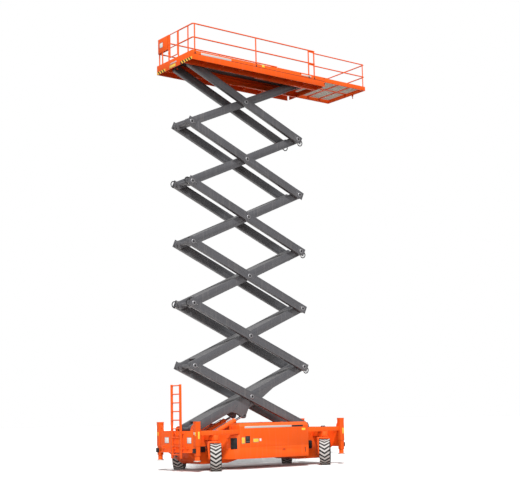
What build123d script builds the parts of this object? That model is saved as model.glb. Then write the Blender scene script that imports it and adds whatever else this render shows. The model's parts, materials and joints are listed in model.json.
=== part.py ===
from build123d import *
from collections import namedtuple
from math import asin, atan2, cos, degrees, hypot, radians, sin, sqrt
import os

os.makedirs("parts", exist_ok=True)

# Millimetres.  X runs along the machine towards the slide-out deck, Y across it, Z up from the
# ground.  The model is built about the middle of the chassis, and keep() moves every piece so
# that the middle of the whole machine's box on the ground is the origin.

# Tubes, pins and tyres that repeat are prisms with this many sides, which keeps the mesh light.
pin_sides = 12
rail_sides = 8
hose_sides = 6
foot_sides = 16
wheel_sides = 20

# wheels and steering
wheelbase = 5000.0
track = 2300.0
tyre_d = 960.0
tyre_w = 400.0
tread_depth = 28.0
tread_w = 344.0
belly_h = 115.0           # from the rim to the tyre's widest place
belly_land = 20.0         # flat at the widest place
lugs = wheel_sides        # chevrons round a tyre, one to each side of its prism
lug_w = 75.0
lug_sweep = 120.0         # how far a chevron's ends trail its point
lug_inset = 2.0           # from a chevron's end to the shoulder
rim_d = 520.0
rim_w = 300.0
rim_wall = 12.0
rim_disc_t = 24.0
rim_disc_in = 30.0        # from the tyre's middle to the disc's leg-side face
hub_motor_d = 270.0
spindle_d = 120.0
spindle_out = 20.0        # past the rim's disc
knuckle_t = 42.0
knuckle_w = 330.0
crown_nose = 80.0         # half the width of the crown's front edge
crown_cheek = 60.0        # where the crown starts to narrow
leg_rib = 45.0            # depth of the rib down the leg
leg_rib_t = 24.0
leg_gap = 16.0            # tyre side to fork leg
tyre_top_gap = 26.0       # tyre top to fork crown
kingpin_d = 140.0
kingpin_h = 200.0

# chassis
rail_in = 540.0           # half the gap between the two rails
rail_t = 60.0
rail_top = 1360.0
rail_end = 3340.0         # half the rails' length
belly_z = 240.0
belly_mid_z = 360.0
belly_end_z = 650.0
belly_x = (1060.0, 1600.0, 2750.0)   # where the belly starts down, is lowest, and turns up
belly_t = 40.0
end_wall_drop = 110.0     # end walls' top below the rails'
cross_tubes = ((-1900.0, 500.0), (200.0, 620.0), (1800.0, 800.0))   # x, z
lug_r = 115.0             # lugs of the lowest fixed pivots
lug_foot_w, lug_foot_h = 330.0, 120.0
bulkhead_t = 40.0
bulkhead_z0, bulkhead_z1 = 650.0, 1400.0
bulkhead_cut = (120.0, 90.0)         # lower corners, across and up
lip_out, lip_h = 50.0, 30.0          # flange along the lower edge
ear_r, ear_t, ear_hole_d = 215.0, 24.0, 56.0   # round gussets between bulkhead and jacks
eye_y, eye_z = 760.0, 840.0
eye_out = 90.0
eye_t = 26.0
eye_hole_d = 46.0
axle_arm_w = 260.0
axle_arm_t = 180.0
axle_arm_gap = 32.0       # fork crown to axle arm
axle_head_d = 250.0
side_beam_h = 160.0
side_beam_w = 160.0
side_beam_wall = 12.0
side_beam_in = 60.0       # from the jacks' middle line towards the rails

# levelling jacks
jack_in = 40.0            # jacks' middle from the rails' ends
jack_y = 1170.0
jack_w = 185.0
jack_sleeve_w = 160.0
jack_leg_w = 125.0
jack_top = 1720.0
jack_z0 = 880.0
jack_sleeve_z0 = 550.0
jack_cap_t = 25.0
jack_cap_lip = 8.0
jack_foot_d = 250.0
jack_foot_t = 30.0
jack_foot_z = 360.0
jack_leg_l = 1120.0
lamp_w, lamp_h, lamp_out = 110.0, 155.0, 80.0
lamp_z = 650.0

# power modules on both sides
module_x0, module_x1 = -1500.0, 1650.0
module_slant = 450.0
module_y = 1215.0
module_z0, module_fold_z, module_top = 370.0, 770.0, 1620.0
module_wall = 20.0
module_chamfer = 115.0
module_corner = 90.0      # radius of the hood's two upper corners
end_column_top = 1225.0
hinge_rod_d = 20.0
hinge_barrel_d = 38.0
hinge_barrel_l = 120.0
hinge_from_rail = 32.0
hinge_lug = 80.0
hinge_lug_in = 200.0      # end lugs from the module's ends
vent_w, vent_h, vent_z = 235.0, 380.0, 920.0
handle_x, handle_z, handle_w, handle_h = 490.0, 650.0, 150.0, 90.0
latch_x, latch_z, latch_h, latch_w = 1500.0, 610.0, 130.0, 26.0
screen_x, screen_z, screen_w, screen_h = -1150.0, 1040.0, 200.0, 250.0
recess = 12.0
engine_x0, engine_x1, engine_top = -650.0, 650.0, 1250.0
tank_x0, tank_x1, tank_top = -800.0, 700.0, 1100.0
bay_gap = 40.0            # engine and tank to the module's walls

# scissor stack
stages = 6
arm_l = 5500.0            # pivot to pivot
stage_h = 2225.0          # rise of one stage as it stands
base_pivot_x = -2910.0
base_pivot_z = 1450.0
arm_h = 300.0
arm_wall = 10.0
arm_end = 120.0           # beam past its pivot
arm_corner = 60.0
inner_y0, inner_y1 = 250.0, 370.0
outer_y0, outer_y1 = 390.0, 530.0
pin_d = 90.0
tube_d = 140.0
brace_d = 100.0
brace_s = 1500.0          # from an arm's middle to each brace tube
roller_d = 180.0
roller_w = 54.0
hose_d = 24.0
hose_ends = ((2, (1, -1)), (4, (1, -1)), (6, (1,)))   # outer arms and which of their ends
# a slack hose at an arm's end: distances out from the end face and up from the arm's middle
hose_route = ((0, 55), (95, 55), (162, -12), (162, -107), (95, -174), (12, -182), (-40, -130))
hose_bends = (80, 105, 105, 100, 80)

# lift cylinders
cyl_base_x, cyl_base_z = -2600.0, 1000.0
cyl_pin_x, cyl_pin_z = -670.0, 1890.0
barrel_d = 180.0
barrel_l = 1700.0
rod_d = 84.0
rod_inside = 1200.0       # rod's length left in the barrel
eye_d = 150.0
gusset_t = 15.0
gusset_eye_r = 105.0
# lever under the lowest inner arms, along the arm from the cylinder's pin and down from the beam
gusset_shape = ((-470, 0), (-250, 170), (300, 210), (750, 180), (1700, 0))

# platform, from the highest pivots up
deck_x0, deck_x1 = -3304.0, 3024.0
deck_w = 2400.0
deck_beam_drop = 110.0    # side beams' lower edge below the pivots
deck_beam_h = 350.0
deck_ridge_up = 220.0
deck_beam_t = 16.0
deck_ridge = 14.0         # how far the side beam's fold stands out
floor_up = 200.0          # underside of the deck plate over the pivots
floor_t = 10.0
floor_half = 1090.0
ledge_in, ledge_t = 120.0, 20.0      # runners of the slide-out deck, inside the side beams
upstand_t = 12.0
cross_t = 24.0
cross_x = (-2500.0, -1700.0, -900.0, -100.0, 700.0, 1500.0, 2300.0)
cross_up = 60.0           # cross members' lower edge over the side beams'
channel_w, channel_t = 95.0, 20.0
channel_lip_t = 14.0
plate_t = 12.0
top_lug_r = 100.0
rail_tube_d = 44.0
rail_post_d = 40.0
rail_h, mid_rail_h = 1036.0, 520.0   # over the deck plate
rail_y = 1178.0
rail_corner = 60.0
end_rail_in = 45.0        # end rails from the platform's edge
gate_y0, gate_y1 = -220.0, 420.0
gate_gap0, gate_gap1 = 60.0, 80.0
gate_up = 150.0
gate_tube_d, gate_post_d = 36.0, 32.0
gate_hinge_d, gate_hinge_h, gate_hinge_up = 68.0, 60.0, 180.0
post_x = (-3190.0, -390.0, 2210.0, 2490.0)
rail_x1 = 2520.0          # where the side rails end
end_post_y = 860.0        # posts of the end rails between the corners and the gate
panel_t, panel_off = 30.0, 8.0
panel_y0, panel_y1 = 450.0, 1130.0

# slide-out deck
ext_x0, ext_x1 = 2450.0, 5240.0
ext_beam_y0, ext_beam_y1 = 1110.0, 1150.0
ext_below, ext_h = 100.0, 170.0      # its side beams below the deck plate, and their height
ext_bar_t = 40.0
ext_bar_w = 40.0
ext_cross_w = 90.0
ext_cross_x = (4070.0, 4690.0)
ext_top_gap = 10.0
grating_t = 25.0
ext_tube_d = 40.0
ext_post_d = 36.0
ext_rail_h, ext_mid_h = 922.0, 410.0
ext_corner = 60.0
ext_post_in = 100.0

# ladder
ladder_y0, ladder_y1 = -490.0, 140.0
ladder_z0, ladder_z1 = 460.0, 3020.0
ladder_out = 110.0
stile_w, stile_t = 62.0, 30.0
rung_d = 26.0
rung_pitch = 300.0
rung_first = 120.0
bracket_h = 50.0

# clearances
touch = 0.3               # faces of two bodies that rest on each other
run = 0.05                # radial, pins in their bores
swing = 5.0               # between moving pieces

# worked out from the sizes above
left_reach = rail_end + bulkhead_t + ladder_out + stile_t
mid_x = (ext_x1 - left_reach) / 2
arm_angle = degrees(asin(stage_h / arm_l))
arm_span = arm_l * cos(radians(arm_angle))
hub_z = tyre_d / 2
leg_in = tyre_w / 2 + leg_gap
crown_z = tyre_d + tyre_top_gap
axle_arm_z = crown_z + knuckle_t + axle_arm_gap
side_beam_z = axle_arm_z + axle_arm_t
rail_out = rail_in + rail_t
jack_x = rail_end - jack_in
top_pivot_z = base_pivot_z + stages * stage_h
cyl_y = (inner_y0 + inner_y1) / 2
deck_beam_z0 = top_pivot_z - deck_beam_drop
deck_beam_z1 = deck_beam_z0 + deck_beam_h
floor_z = top_pivot_z + floor_up
rail_z = floor_z + floor_t + rail_h
mid_rail_z = floor_z + floor_t + mid_rail_h
ext_z0 = floor_z - ext_below
ext_z1 = ext_z0 + ext_h
ext_rail_z, ext_mid_z = ext_z1 + ext_rail_h, ext_z1 + ext_mid_h

Corner = namedtuple("Corner", "name end side steer")   # end, side: +1 or -1; steer in degrees
corners = [
    Corner("near_left", -1, -1, 54.5),
    Corner("near_right", 1, -1, 46.5),
    Corner("far_left", -1, 1, 46.5),
    Corner("far_right", 1, 1, 54.5),
]


def keep(piece, label, place=Location()):
    """Move a finished piece to its place in the part's frame, label it and write it."""
    solid = piece.part.moved(Location((-mid_x, 0, 0)) * place)
    solid.label = label
    export_step(solid, f"parts/{label}.step")


def facing_y(y, x=0.0, z=0.0, tilt=0.0):
    """Sketch plane whose normal is -Y: local x points along X raised by tilt, local y up."""
    a = radians(tilt)
    return Plane(origin=(x, y, z), x_dir=(cos(a), 0, sin(a)), z_dir=(0, -1, 0))


def facing_x(x):
    """Sketch plane whose normal is +X: local x points along Y, local y up."""
    return Plane(origin=(x, 0, 0), x_dir=(0, 1, 0), z_dir=(1, 0, 0))


def block(x0, x1, y0, y1, z0, z1, mode=Mode.ADD):
    """Axis-aligned block from its limits."""
    with Locations(((x0 + x1) / 2, (y0 + y1) / 2, (z0 + z1) / 2)):
        Box(abs(x1 - x0), abs(y1 - y0), abs(z1 - z0), mode=mode)


def bar_y(x, z, y0, y1, d, mode=Mode.ADD):
    """Round bar across the machine."""
    with Locations(Location((x, (y0 + y1) / 2, z), (90, 0, 0))):
        Cylinder(d / 2, abs(y1 - y0), mode=mode)


def prism_y(x, z, y0, y1, d, sides, mode=Mode.ADD):
    """Many-sided bar across the machine, its corners on the diameter."""
    with BuildSketch(facing_y(max(y0, y1), x, z)) as section:
        RegularPolygon(d / 2, sides)
    extrude(section.sketch, amount=abs(y1 - y0), mode=mode)


def post(x, y, z0, z1, d):
    """Upright rail tube."""
    with BuildSketch(Plane(origin=(x, y, z0))) as section:
        RegularPolygon(d / 2, rail_sides)
    extrude(section.sketch, amount=z1 - z0)


def round_a_pin(d, sides):
    """Diameter of a many-sided hole that just clears a round pin."""
    return (d + 2 * run) / cos(radians(180 / sides))


# ---------------------------------------------------------------- chassis

belly = [
    (-rail_end, belly_end_z), (-belly_x[2], belly_z), (-belly_x[1], belly_z),
    (-belly_x[0], belly_mid_z), (belly_x[0], belly_mid_z), (belly_x[1], belly_z),
    (belly_x[2], belly_z), (rail_end, belly_end_z),
]

with BuildPart() as chassis_frame:
    with BuildSketch(facing_y(rail_out)):
        Polygon(*belly, (rail_end, rail_top), (-rail_end, rail_top), align=None)
    extrude(amount=2 * rail_out)
    with BuildSketch(facing_y(rail_in)):
        lifted = [(x, z + belly_t) for x, z in belly]
        Polygon(*lifted, (rail_end, 2 * rail_top), (-rail_end, 2 * rail_top), align=None)
    extrude(amount=2 * rail_in, mode=Mode.SUBTRACT)
    # end walls, cross tubes, and the shaft that carries the lift cylinders
    for end in (-1, 1):
        block(end * rail_end, end * (rail_end - belly_t), -rail_in, rail_in,
              belly_end_z, rail_top - end_wall_drop)
    for x, z in cross_tubes:
        prism_y(x, z, -rail_in, rail_in, tube_d, pin_sides)
    bar_y(cyl_base_x, cyl_base_z, -rail_in, rail_in, pin_d)
    # lugs for the lowest fixed pivots
    for outer_face in (-rail_in, rail_out):
        with BuildSketch(facing_y(outer_face)):
            with Locations((base_pivot_x, base_pivot_z)):
                Circle(lug_r)
            with Locations((base_pivot_x, rail_top - lug_foot_h / 2)):
                Rectangle(lug_foot_w, lug_foot_h)
        extrude(amount=rail_t)
    bar_y(base_pivot_x, base_pivot_z, -rail_out, rail_out, pin_d + 2 * run, mode=Mode.SUBTRACT)
keep(chassis_frame, "chassis_frame")

with BuildPart() as axle_arms:
    for c in corners:
        wx, wy = c.end * wheelbase / 2, c.side * track / 2
        block(wx - axle_arm_w / 2, wx + axle_arm_w / 2, c.side * rail_out, wy,
              axle_arm_z, side_beam_z)
        with BuildSketch(Plane(origin=(wx, wy, axle_arm_z))):
            RegularPolygon(axle_head_d / 2, pin_sides)
        extrude(amount=axle_arm_t)
        with Locations((wx, wy, axle_arm_z + axle_arm_t / 2)):
            Cylinder(kingpin_d / 2 + run, axle_arm_t, mode=Mode.SUBTRACT)
keep(axle_arms, "axle_arms")

with BuildPart() as side_beams:
    for c in corners:
        module_end = module_x0 if c.end < 0 else module_x1
        x_in, x_out = module_end + c.end * touch, c.end * (jack_x - jack_w / 2)
        y_mid = c.side * (jack_y - side_beam_in)
        block(x_in, x_out, y_mid - side_beam_w / 2, y_mid + side_beam_w / 2,
              side_beam_z, side_beam_z + side_beam_h)
        hole_w, hole_h = side_beam_w - 2 * side_beam_wall, side_beam_h - 2 * side_beam_wall
        block(x_in, x_out, y_mid - hole_w / 2, y_mid + hole_w / 2,
              side_beam_z + side_beam_wall, side_beam_z + side_beam_wall + hole_h,
              mode=Mode.SUBTRACT)
keep(side_beams, "side_beams")

bulkhead_half = jack_y - jack_w / 2
cut_y, cut_z = bulkhead_cut

with BuildPart() as bulkheads:
    for end in (-1, 1):
        with BuildSketch(facing_x(end * rail_end)):
            w = bulkhead_half
            Polygon((-w, bulkhead_z1), (-w, bulkhead_z0 + cut_z), (-w + cut_y, bulkhead_z0),
                    (w - cut_y, bulkhead_z0), (w, bulkhead_z0 + cut_z), (w, bulkhead_z1),
                    align=None)
        extrude(amount=end * bulkhead_t)
        block(end * rail_end, end * (rail_end + bulkhead_t + lip_out), -w + cut_y, w - cut_y,
              bulkhead_z0, bulkhead_z0 + lip_h)
        # quarter-round gussets up the sides of the jacks
        with BuildSketch(facing_x(end * rail_end)):
            for side in (-1, 1):
                with Locations((side * w, bulkhead_z1)):
                    Circle(ear_r)
                    Rectangle(2 * ear_r, ear_r, align=(Align.CENTER, Align.MAX), mode=Mode.SUBTRACT)
                with Locations((side * (w + ear_r / 2), bulkhead_z1)):
                    Rectangle(ear_r, ear_r, align=(Align.CENTER, Align.MIN), mode=Mode.SUBTRACT)
                with Locations((side * (w - ear_r * 0.4), bulkhead_z1 + ear_r * 0.4)):
                    RegularPolygon(ear_hole_d / 2, rail_sides, mode=Mode.SUBTRACT)
        extrude(amount=end * ear_t)
    # lashing eyes
    for c in corners:
        y = c.side * eye_y
        x0, x1 = c.end * (rail_end + bulkhead_t), c.end * (rail_end + bulkhead_t + eye_out)
        block(x0 - c.end, x1, y - eye_t / 2, y + eye_t / 2, eye_z - eye_out / 2, eye_z + eye_out / 2)
        bar_y((x0 + x1) / 2, eye_z, y - eye_t, y + eye_t, eye_hole_d, mode=Mode.SUBTRACT)
keep(bulkheads, "bulkheads")

with BuildPart() as jack_housings:
    for c in corners:
        jx, jy = c.end * jack_x, c.side * jack_y
        with Locations((jx, jy, (jack_z0 + jack_top) / 2)):
            Box(jack_w, jack_w, jack_top - jack_z0)
        with Locations((jx, jy, jack_top - jack_cap_t / 2)):
            Box(jack_w + 2 * jack_cap_lip, jack_w, jack_cap_t)
        with Locations((jx, jy, (jack_sleeve_z0 + jack_z0) / 2)):
            Box(jack_sleeve_w, jack_sleeve_w, jack_z0 - jack_sleeve_z0)
        with Locations((jx, jy, (jack_sleeve_z0 + jack_top - jack_cap_t) / 2)):
            bore = jack_leg_w + 2 * touch
            Box(bore, bore, jack_top - jack_cap_t - jack_sleeve_z0, mode=Mode.SUBTRACT)
keep(jack_housings, "jack_housings")

with BuildPart() as jack_lamps:
    for c in corners:
        x0 = c.end * (jack_x + jack_sleeve_w / 2)
        y = c.side * jack_y
        block(x0, x0 + c.end * lamp_out, y - lamp_w / 2, y + lamp_w / 2, lamp_z, lamp_z + lamp_h)
keep(jack_lamps, "jack_lamps")

for c in corners:
    jx, jy = c.end * jack_x, c.side * jack_y
    with BuildPart() as jack_leg:
        with Locations((jx, jy, jack_foot_z + jack_foot_t + jack_leg_l / 2)):
            Box(jack_leg_w, jack_leg_w, jack_leg_l)
        with BuildSketch(Plane(origin=(jx, jy, jack_foot_z))):
            RegularPolygon(jack_foot_d / 2, foot_sides)
        extrude(amount=jack_foot_t)
    keep(jack_leg, f"jack_leg_{c.name}")

with BuildPart() as ladder:
    x_face = -(rail_end + bulkhead_t)
    x_out = x_face - ladder_out
    for y in (ladder_y0, ladder_y1 - stile_w):
        block(x_out - stile_t, x_out, y, y + stile_w, ladder_z0, ladder_z1)
        for z in (bulkhead_z0 + 2.5 * bracket_h, bulkhead_z1 - 2 * bracket_h):
            block(x_out, x_face, y + stile_w / 4, y + 3 * stile_w / 4, z, z + bracket_h)
    z = ladder_z0 + rung_first
    while z < ladder_z1:
        prism_y(x_out - stile_t / 2, z, ladder_y0 + stile_w / 2, ladder_y1 - stile_w / 2,
                rung_d, rail_sides)
        z += rung_pitch
keep(ladder, "ladder")


def make_module(side):
    """Tray, slanted end column and back wall of one power module."""
    inner, outer = side * rail_out, side * module_y
    wall = side * module_wall
    slant_l = hypot(module_slant, module_y - rail_out)
    along = (module_slant / slant_l, side * (module_y - rail_out) / slant_l)
    out_of_slant = (-abs(along[1]), side * along[0], 0)
    with BuildPart() as module:
        with BuildSketch(Plane.XY.offset(module_z0)):
            Polygon((module_x0 - module_slant, inner), (module_x0, outer), (module_x1, outer),
                    (module_x1, inner), align=None)
        extrude(amount=module_fold_z - module_z0)
        with BuildSketch(Plane.XY.offset(module_z0)):
            Polygon((module_x0 - module_slant, inner), (module_x0, outer), (module_x0, inner),
                    align=None)
        extrude(amount=end_column_top - module_z0)
        block(module_x0 - 1, module_x1, inner, inner + wall, module_fold_z,
              module_top - module_wall - swing)
        block(module_x0 + module_wall, module_x1 - module_wall, inner + wall, outer - wall,
              module_z0 + module_wall, module_fold_z, mode=Mode.SUBTRACT)
        # vent in the slanted face, handle hole and latch slot in the tray's side
        middle = (module_x0 - module_slant / 2, side * (rail_out + module_y) / 2, vent_z)
        with BuildSketch(Plane(origin=middle, x_dir=(*along, 0), z_dir=out_of_slant)):
            Rectangle(vent_w, vent_h)
        extrude(amount=-2 * recess, mode=Mode.SUBTRACT)
        with BuildSketch(Plane(origin=(0, outer, 0), x_dir=(1, 0, 0), z_dir=(0, -1, 0))):
            with Locations((handle_x, handle_z)):
                SlotOverall(handle_w, handle_h)
            with Locations((latch_x, latch_z)):
                Rectangle(latch_w, latch_h)
        extrude(amount=side * recess, mode=Mode.SUBTRACT)
        # hinge rod for the cover on short lugs
        rod_y = inner + side * hinge_from_rail
        rod_z = module_top - module_wall / 2
        with Locations(Location(((module_x0 + module_x1) / 2, rod_y, rod_z), (0, 90, 0))):
            Cylinder(hinge_rod_d / 2, module_x1 - module_x0 - 2 * swing)
        for x in (module_x0 + hinge_lug_in, (module_x0 + module_x1) / 2, module_x1 - hinge_lug_in):
            block(x - hinge_lug / 2, x + hinge_lug / 2, inner + wall / 2, rod_y,
                  module_top - 3 * module_wall, rod_z)
    return module


def make_cover(side):
    """Hinged hood of one power module: outer panel, chamfered top and two end plates."""
    inner, outer = side * rail_out, side * module_y
    top_y = inner + side * (hinge_from_rail + hinge_rod_d / 2 + swing)
    z0 = module_fold_z + touch
    t = module_wall
    slope = module_chamfer * 0.7
    outline = [(outer, z0), (outer, module_top - module_chamfer),
               (outer - side * slope, module_top), (top_y, module_top)]
    inside = [(outer - side * t, z0), (outer - side * t, module_top - module_chamfer - t * 0.4),
              (outer - side * (slope + t * 0.6), module_top - t), (top_y, module_top - t)]
    x0, x1 = module_x0 + touch, module_x1
    with BuildPart() as cover:
        with BuildSketch(facing_x(x0)):
            Polygon(*outline, (top_y, z0), align=None)
        extrude(amount=x1 - x0)
        # the two upper corners are round in side view
        with BuildSketch(facing_y(module_y)):
            with BuildLine():
                up = Line((x0, z0 - 1), (x0, module_top - module_corner))
                left = RadiusArc(up @ 1, (x0 + module_corner, module_top), module_corner)
                top = Line(left @ 1, (x1 - module_corner, module_top))
                right = RadiusArc(top @ 1, (x1, module_top - module_corner), module_corner)
                Polyline(right @ 1, (x1, z0 - 1), (x0, z0 - 1))
            make_face()
        extrude(amount=2 * module_y, mode=Mode.INTERSECT)
        with BuildSketch(facing_x(x0 + t)):
            Polygon(*inside, (top_y - side * rail_out / 3, module_top - t),
                    (top_y - side * rail_out / 3, z0), align=None)
        extrude(amount=x1 - x0 - 2 * t, mode=Mode.SUBTRACT)
        if side < 0:
            with BuildSketch(facing_y(outer)):
                with Locations((screen_x, screen_z)):
                    Rectangle(screen_w, screen_h)
            extrude(amount=-recess, mode=Mode.SUBTRACT)
        rod_y = inner + side * hinge_from_rail
        rod_z = module_top - t / 2
        for i in (1, 3):
            x = x0 + i * (x1 - x0) / 4
            block(x - hinge_barrel_l / 2, x + hinge_barrel_l / 2, rod_y, top_y + side,
                  module_top - t, module_top)
            with BuildSketch(Plane(origin=(x - hinge_barrel_l / 2, rod_y, rod_z), z_dir=(1, 0, 0))):
                RegularPolygon(hinge_barrel_d / 2, pin_sides)
            extrude(amount=hinge_barrel_l)
            with Locations(Location((x, rod_y, rod_z), (0, 90, 0))):
                Cylinder(hinge_rod_d / 2 + run, hinge_barrel_l, mode=Mode.SUBTRACT)
    return cover


for side, word in ((-1, "near"), (1, "far")):
    keep(make_module(side), f"module_{word}")
    keep(make_cover(side), f"module_cover_{word}")

bay_in = rail_out + module_wall + bay_gap
bay_out = module_y - module_wall - bay_gap
bay_floor = module_z0 + module_wall

with BuildPart() as engine_block:
    block(engine_x0, engine_x1, -bay_out, -bay_in, bay_floor, engine_top)
keep(engine_block, "engine_block")

with BuildPart() as oil_tank:
    block(tank_x0, tank_x1, bay_in, bay_out, bay_floor, tank_top)
keep(oil_tank, "oil_tank")

# ---------------------------------------------------------------- wheels
# Each wheel piece is built round its hub: x the way it rolls, y along the axle towards the leg.


def wheel_place(c):
    """Where the hub of one corner's wheel stands and how it is steered."""
    a = radians(c.steer)
    hub = (c.end * wheelbase / 2, c.side * track / 2, hub_z)
    return Plane(origin=hub, x_dir=(-c.side * cos(a), -c.side * sin(a), 0), z_dir=(0, 0, 1)).location


bead_r = rim_d / 2
tread_r = tyre_d / 2 - tread_depth
belly_r = bead_r + belly_h
bore_d = rim_d + 2 * touch
flat = cos(radians(180 / wheel_sides))       # a prism's sides are this much nearer than its corners
lug_reach = (lug_sweep + lug_w) / 2
lug_top = sqrt((tyre_d / 2) ** 2 - lug_reach ** 2)     # a chevron's corners lie on the tyre's size
lug_turn = degrees(atan2(lug_reach, lug_top))


def lug_plane(degrees_round, lean):
    """Plane tangent to the carcass under a chevron, y along the axle, that leans with its side."""
    a = radians(degrees_round)
    out = (lean * cos(a), 0, sin(a))
    r = (belly_r + tread_r) / 2
    return Plane(origin=(r * out[0], 0, r * out[2]), x_dir=(-lean * sin(a), 0, cos(a)), z_dir=out)


def make_tyre(lean):
    """Tyre with chevron lugs, one of which stands on the ground."""
    end = tread_w / 2 - lug_inset
    point, tail = (lug_sweep - lug_w) / 2, (lug_sweep + lug_w) / 2
    with BuildPart() as tyre:
        prism_y(0, 0, -tyre_w / 2, tyre_w / 2, 2 * tread_r, wheel_sides)
        for end in (0, -1):
            side = tyre.faces().sort_by(Axis.Y)[end]
            chamfer(side.outer_wire().edges(), length=(tread_r - belly_r) * flat,
                    length2=(tyre_w - tread_w) / 2, reference=side)
        # the sides dish in from the belly to the rim's edges
        prism_y(0, 0, -tyre_w, tyre_w, bore_d, wheel_sides, mode=Mode.SUBTRACT)
        for end in (0, -1):
            side = tyre.faces().sort_by(Axis.Y)[end]
            chamfer(side.inner_wires()[0].edges(), length=(belly_r - bore_d / 2) * flat - belly_land,
                    length2=(tyre_w - rim_w) / 2, reference=side)
        planes = [lug_plane(lug_turn - 90 + i * 360 / lugs, lean) for i in range(lugs)]
        with BuildSketch(*planes):
            Polygon((tail, 0), (-point, end), (-tail, end), (point, 0), (-tail, -end),
                    (-point, -end), align=None)
        extrude(amount=lug_top - (belly_r + tread_r) / 2)
    return tyre


tyres = {-1: make_tyre(1), 1: make_tyre(-1)}

with BuildPart() as rim:
    prism_y(0, 0, -rim_w / 2, rim_w / 2, rim_d, wheel_sides)
    prism_y(0, 0, -rim_w / 2, rim_disc_in - rim_disc_t, rim_d - 2 * rim_wall, wheel_sides,
            mode=Mode.SUBTRACT)
    prism_y(0, 0, rim_disc_in, rim_w / 2, rim_d - 2 * rim_wall, wheel_sides, mode=Mode.SUBTRACT)
    bar_y(0, 0, rim_disc_in - 2 * rim_disc_t, rim_disc_in + rim_disc_t, spindle_d + 2 * run,
          mode=Mode.SUBTRACT)

crown_up = crown_z - hub_z
leg_out = leg_in + knuckle_t

with BuildPart() as knuckle:
    with BuildSketch(facing_y(leg_out)):
        with BuildLine():
            r = hub_motor_d / 2
            sides = Polyline((-r, 0), (-knuckle_w / 2, crown_up), (knuckle_w / 2, crown_up), (r, 0))
            ThreePointArc(sides @ 1, (0, -r), sides @ 0)
        make_face()
    extrude(amount=knuckle_t)
    with BuildSketch(Plane.XY.offset(crown_up)):
        Polygon((-knuckle_w / 2, leg_out), (-knuckle_w / 2, -crown_cheek),
                (-crown_nose, -knuckle_w / 2), (crown_nose, -knuckle_w / 2),
                (knuckle_w / 2, -crown_cheek), (knuckle_w / 2, leg_out), align=None)
    extrude(amount=knuckle_t)
    with BuildSketch(facing_x(-leg_rib_t / 2)):
        Polygon((leg_out - 1, crown_up + knuckle_t), (leg_out + leg_rib, crown_up + knuckle_t),
                (leg_out + leg_rib, crown_up), (leg_out - 1, 0), align=None)
    extrude(amount=leg_rib_t)
    with Locations((0, 0, crown_up + kingpin_h / 2)):
        Cylinder(kingpin_d / 2, kingpin_h)
    prism_y(0, 0, rim_disc_in + swing, leg_in, hub_motor_d, pin_sides)
    bar_y(0, 0, rim_disc_in - rim_disc_t - spindle_out, rim_disc_in + swing, spindle_d)

for c in corners:
    keep(tyres[c.side], f"tyre_{c.name}", wheel_place(c))
    keep(rim, f"rim_{c.name}", wheel_place(c))
    keep(knuckle, f"knuckle_{c.name}", wheel_place(c))

# ---------------------------------------------------------------- scissor stack

end_s = arm_l / 2 + arm_end
pivots = (-arm_l / 2, 0, arm_l / 2)
pin_hole_d = round_a_pin(pin_d, pin_sides)
roller_y0, roller_y1 = rail_in + swing, rail_in + swing + roller_w


def box_outline(t):
    """Side outline of an arm beam, drawn in by t, with its upper and lower corners cut."""
    x, z, k = end_s, arm_h / 2, arm_corner
    half = [(x - k, z - t), (x - t, z - k - t), (x - t, -z + k + t), (x - k, -z + t)]
    return half + [(-x, -z) for x, z in half]


def beam(y0, y1, plane):
    """Hollow box beam between y0 and y1."""
    with BuildSketch(plane(y1)) as outside:
        Polygon(*box_outline(0), align=None)
    extrude(outside.sketch, amount=y1 - y0)
    with BuildSketch(plane(y1 - arm_wall)) as inside:
        Polygon(*box_outline(arm_wall), align=None)
    extrude(inside.sketch, amount=y1 - y0 - 2 * arm_wall, mode=Mode.SUBTRACT)


def across(plane, y0, y1, places, d, sides=0, mode=Mode.ADD):
    """Bars between y0 and y1 at places along an arm, round or with that many sides."""
    with BuildSketch(plane(y1)) as sections:
        with Locations(*[(s, 0) for s in places]):
            if sides:
                RegularPolygon(d / 2, sides)
            else:
                Circle(d / 2)
    extrude(sections.sketch, amount=y1 - y0, mode=mode)


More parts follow.
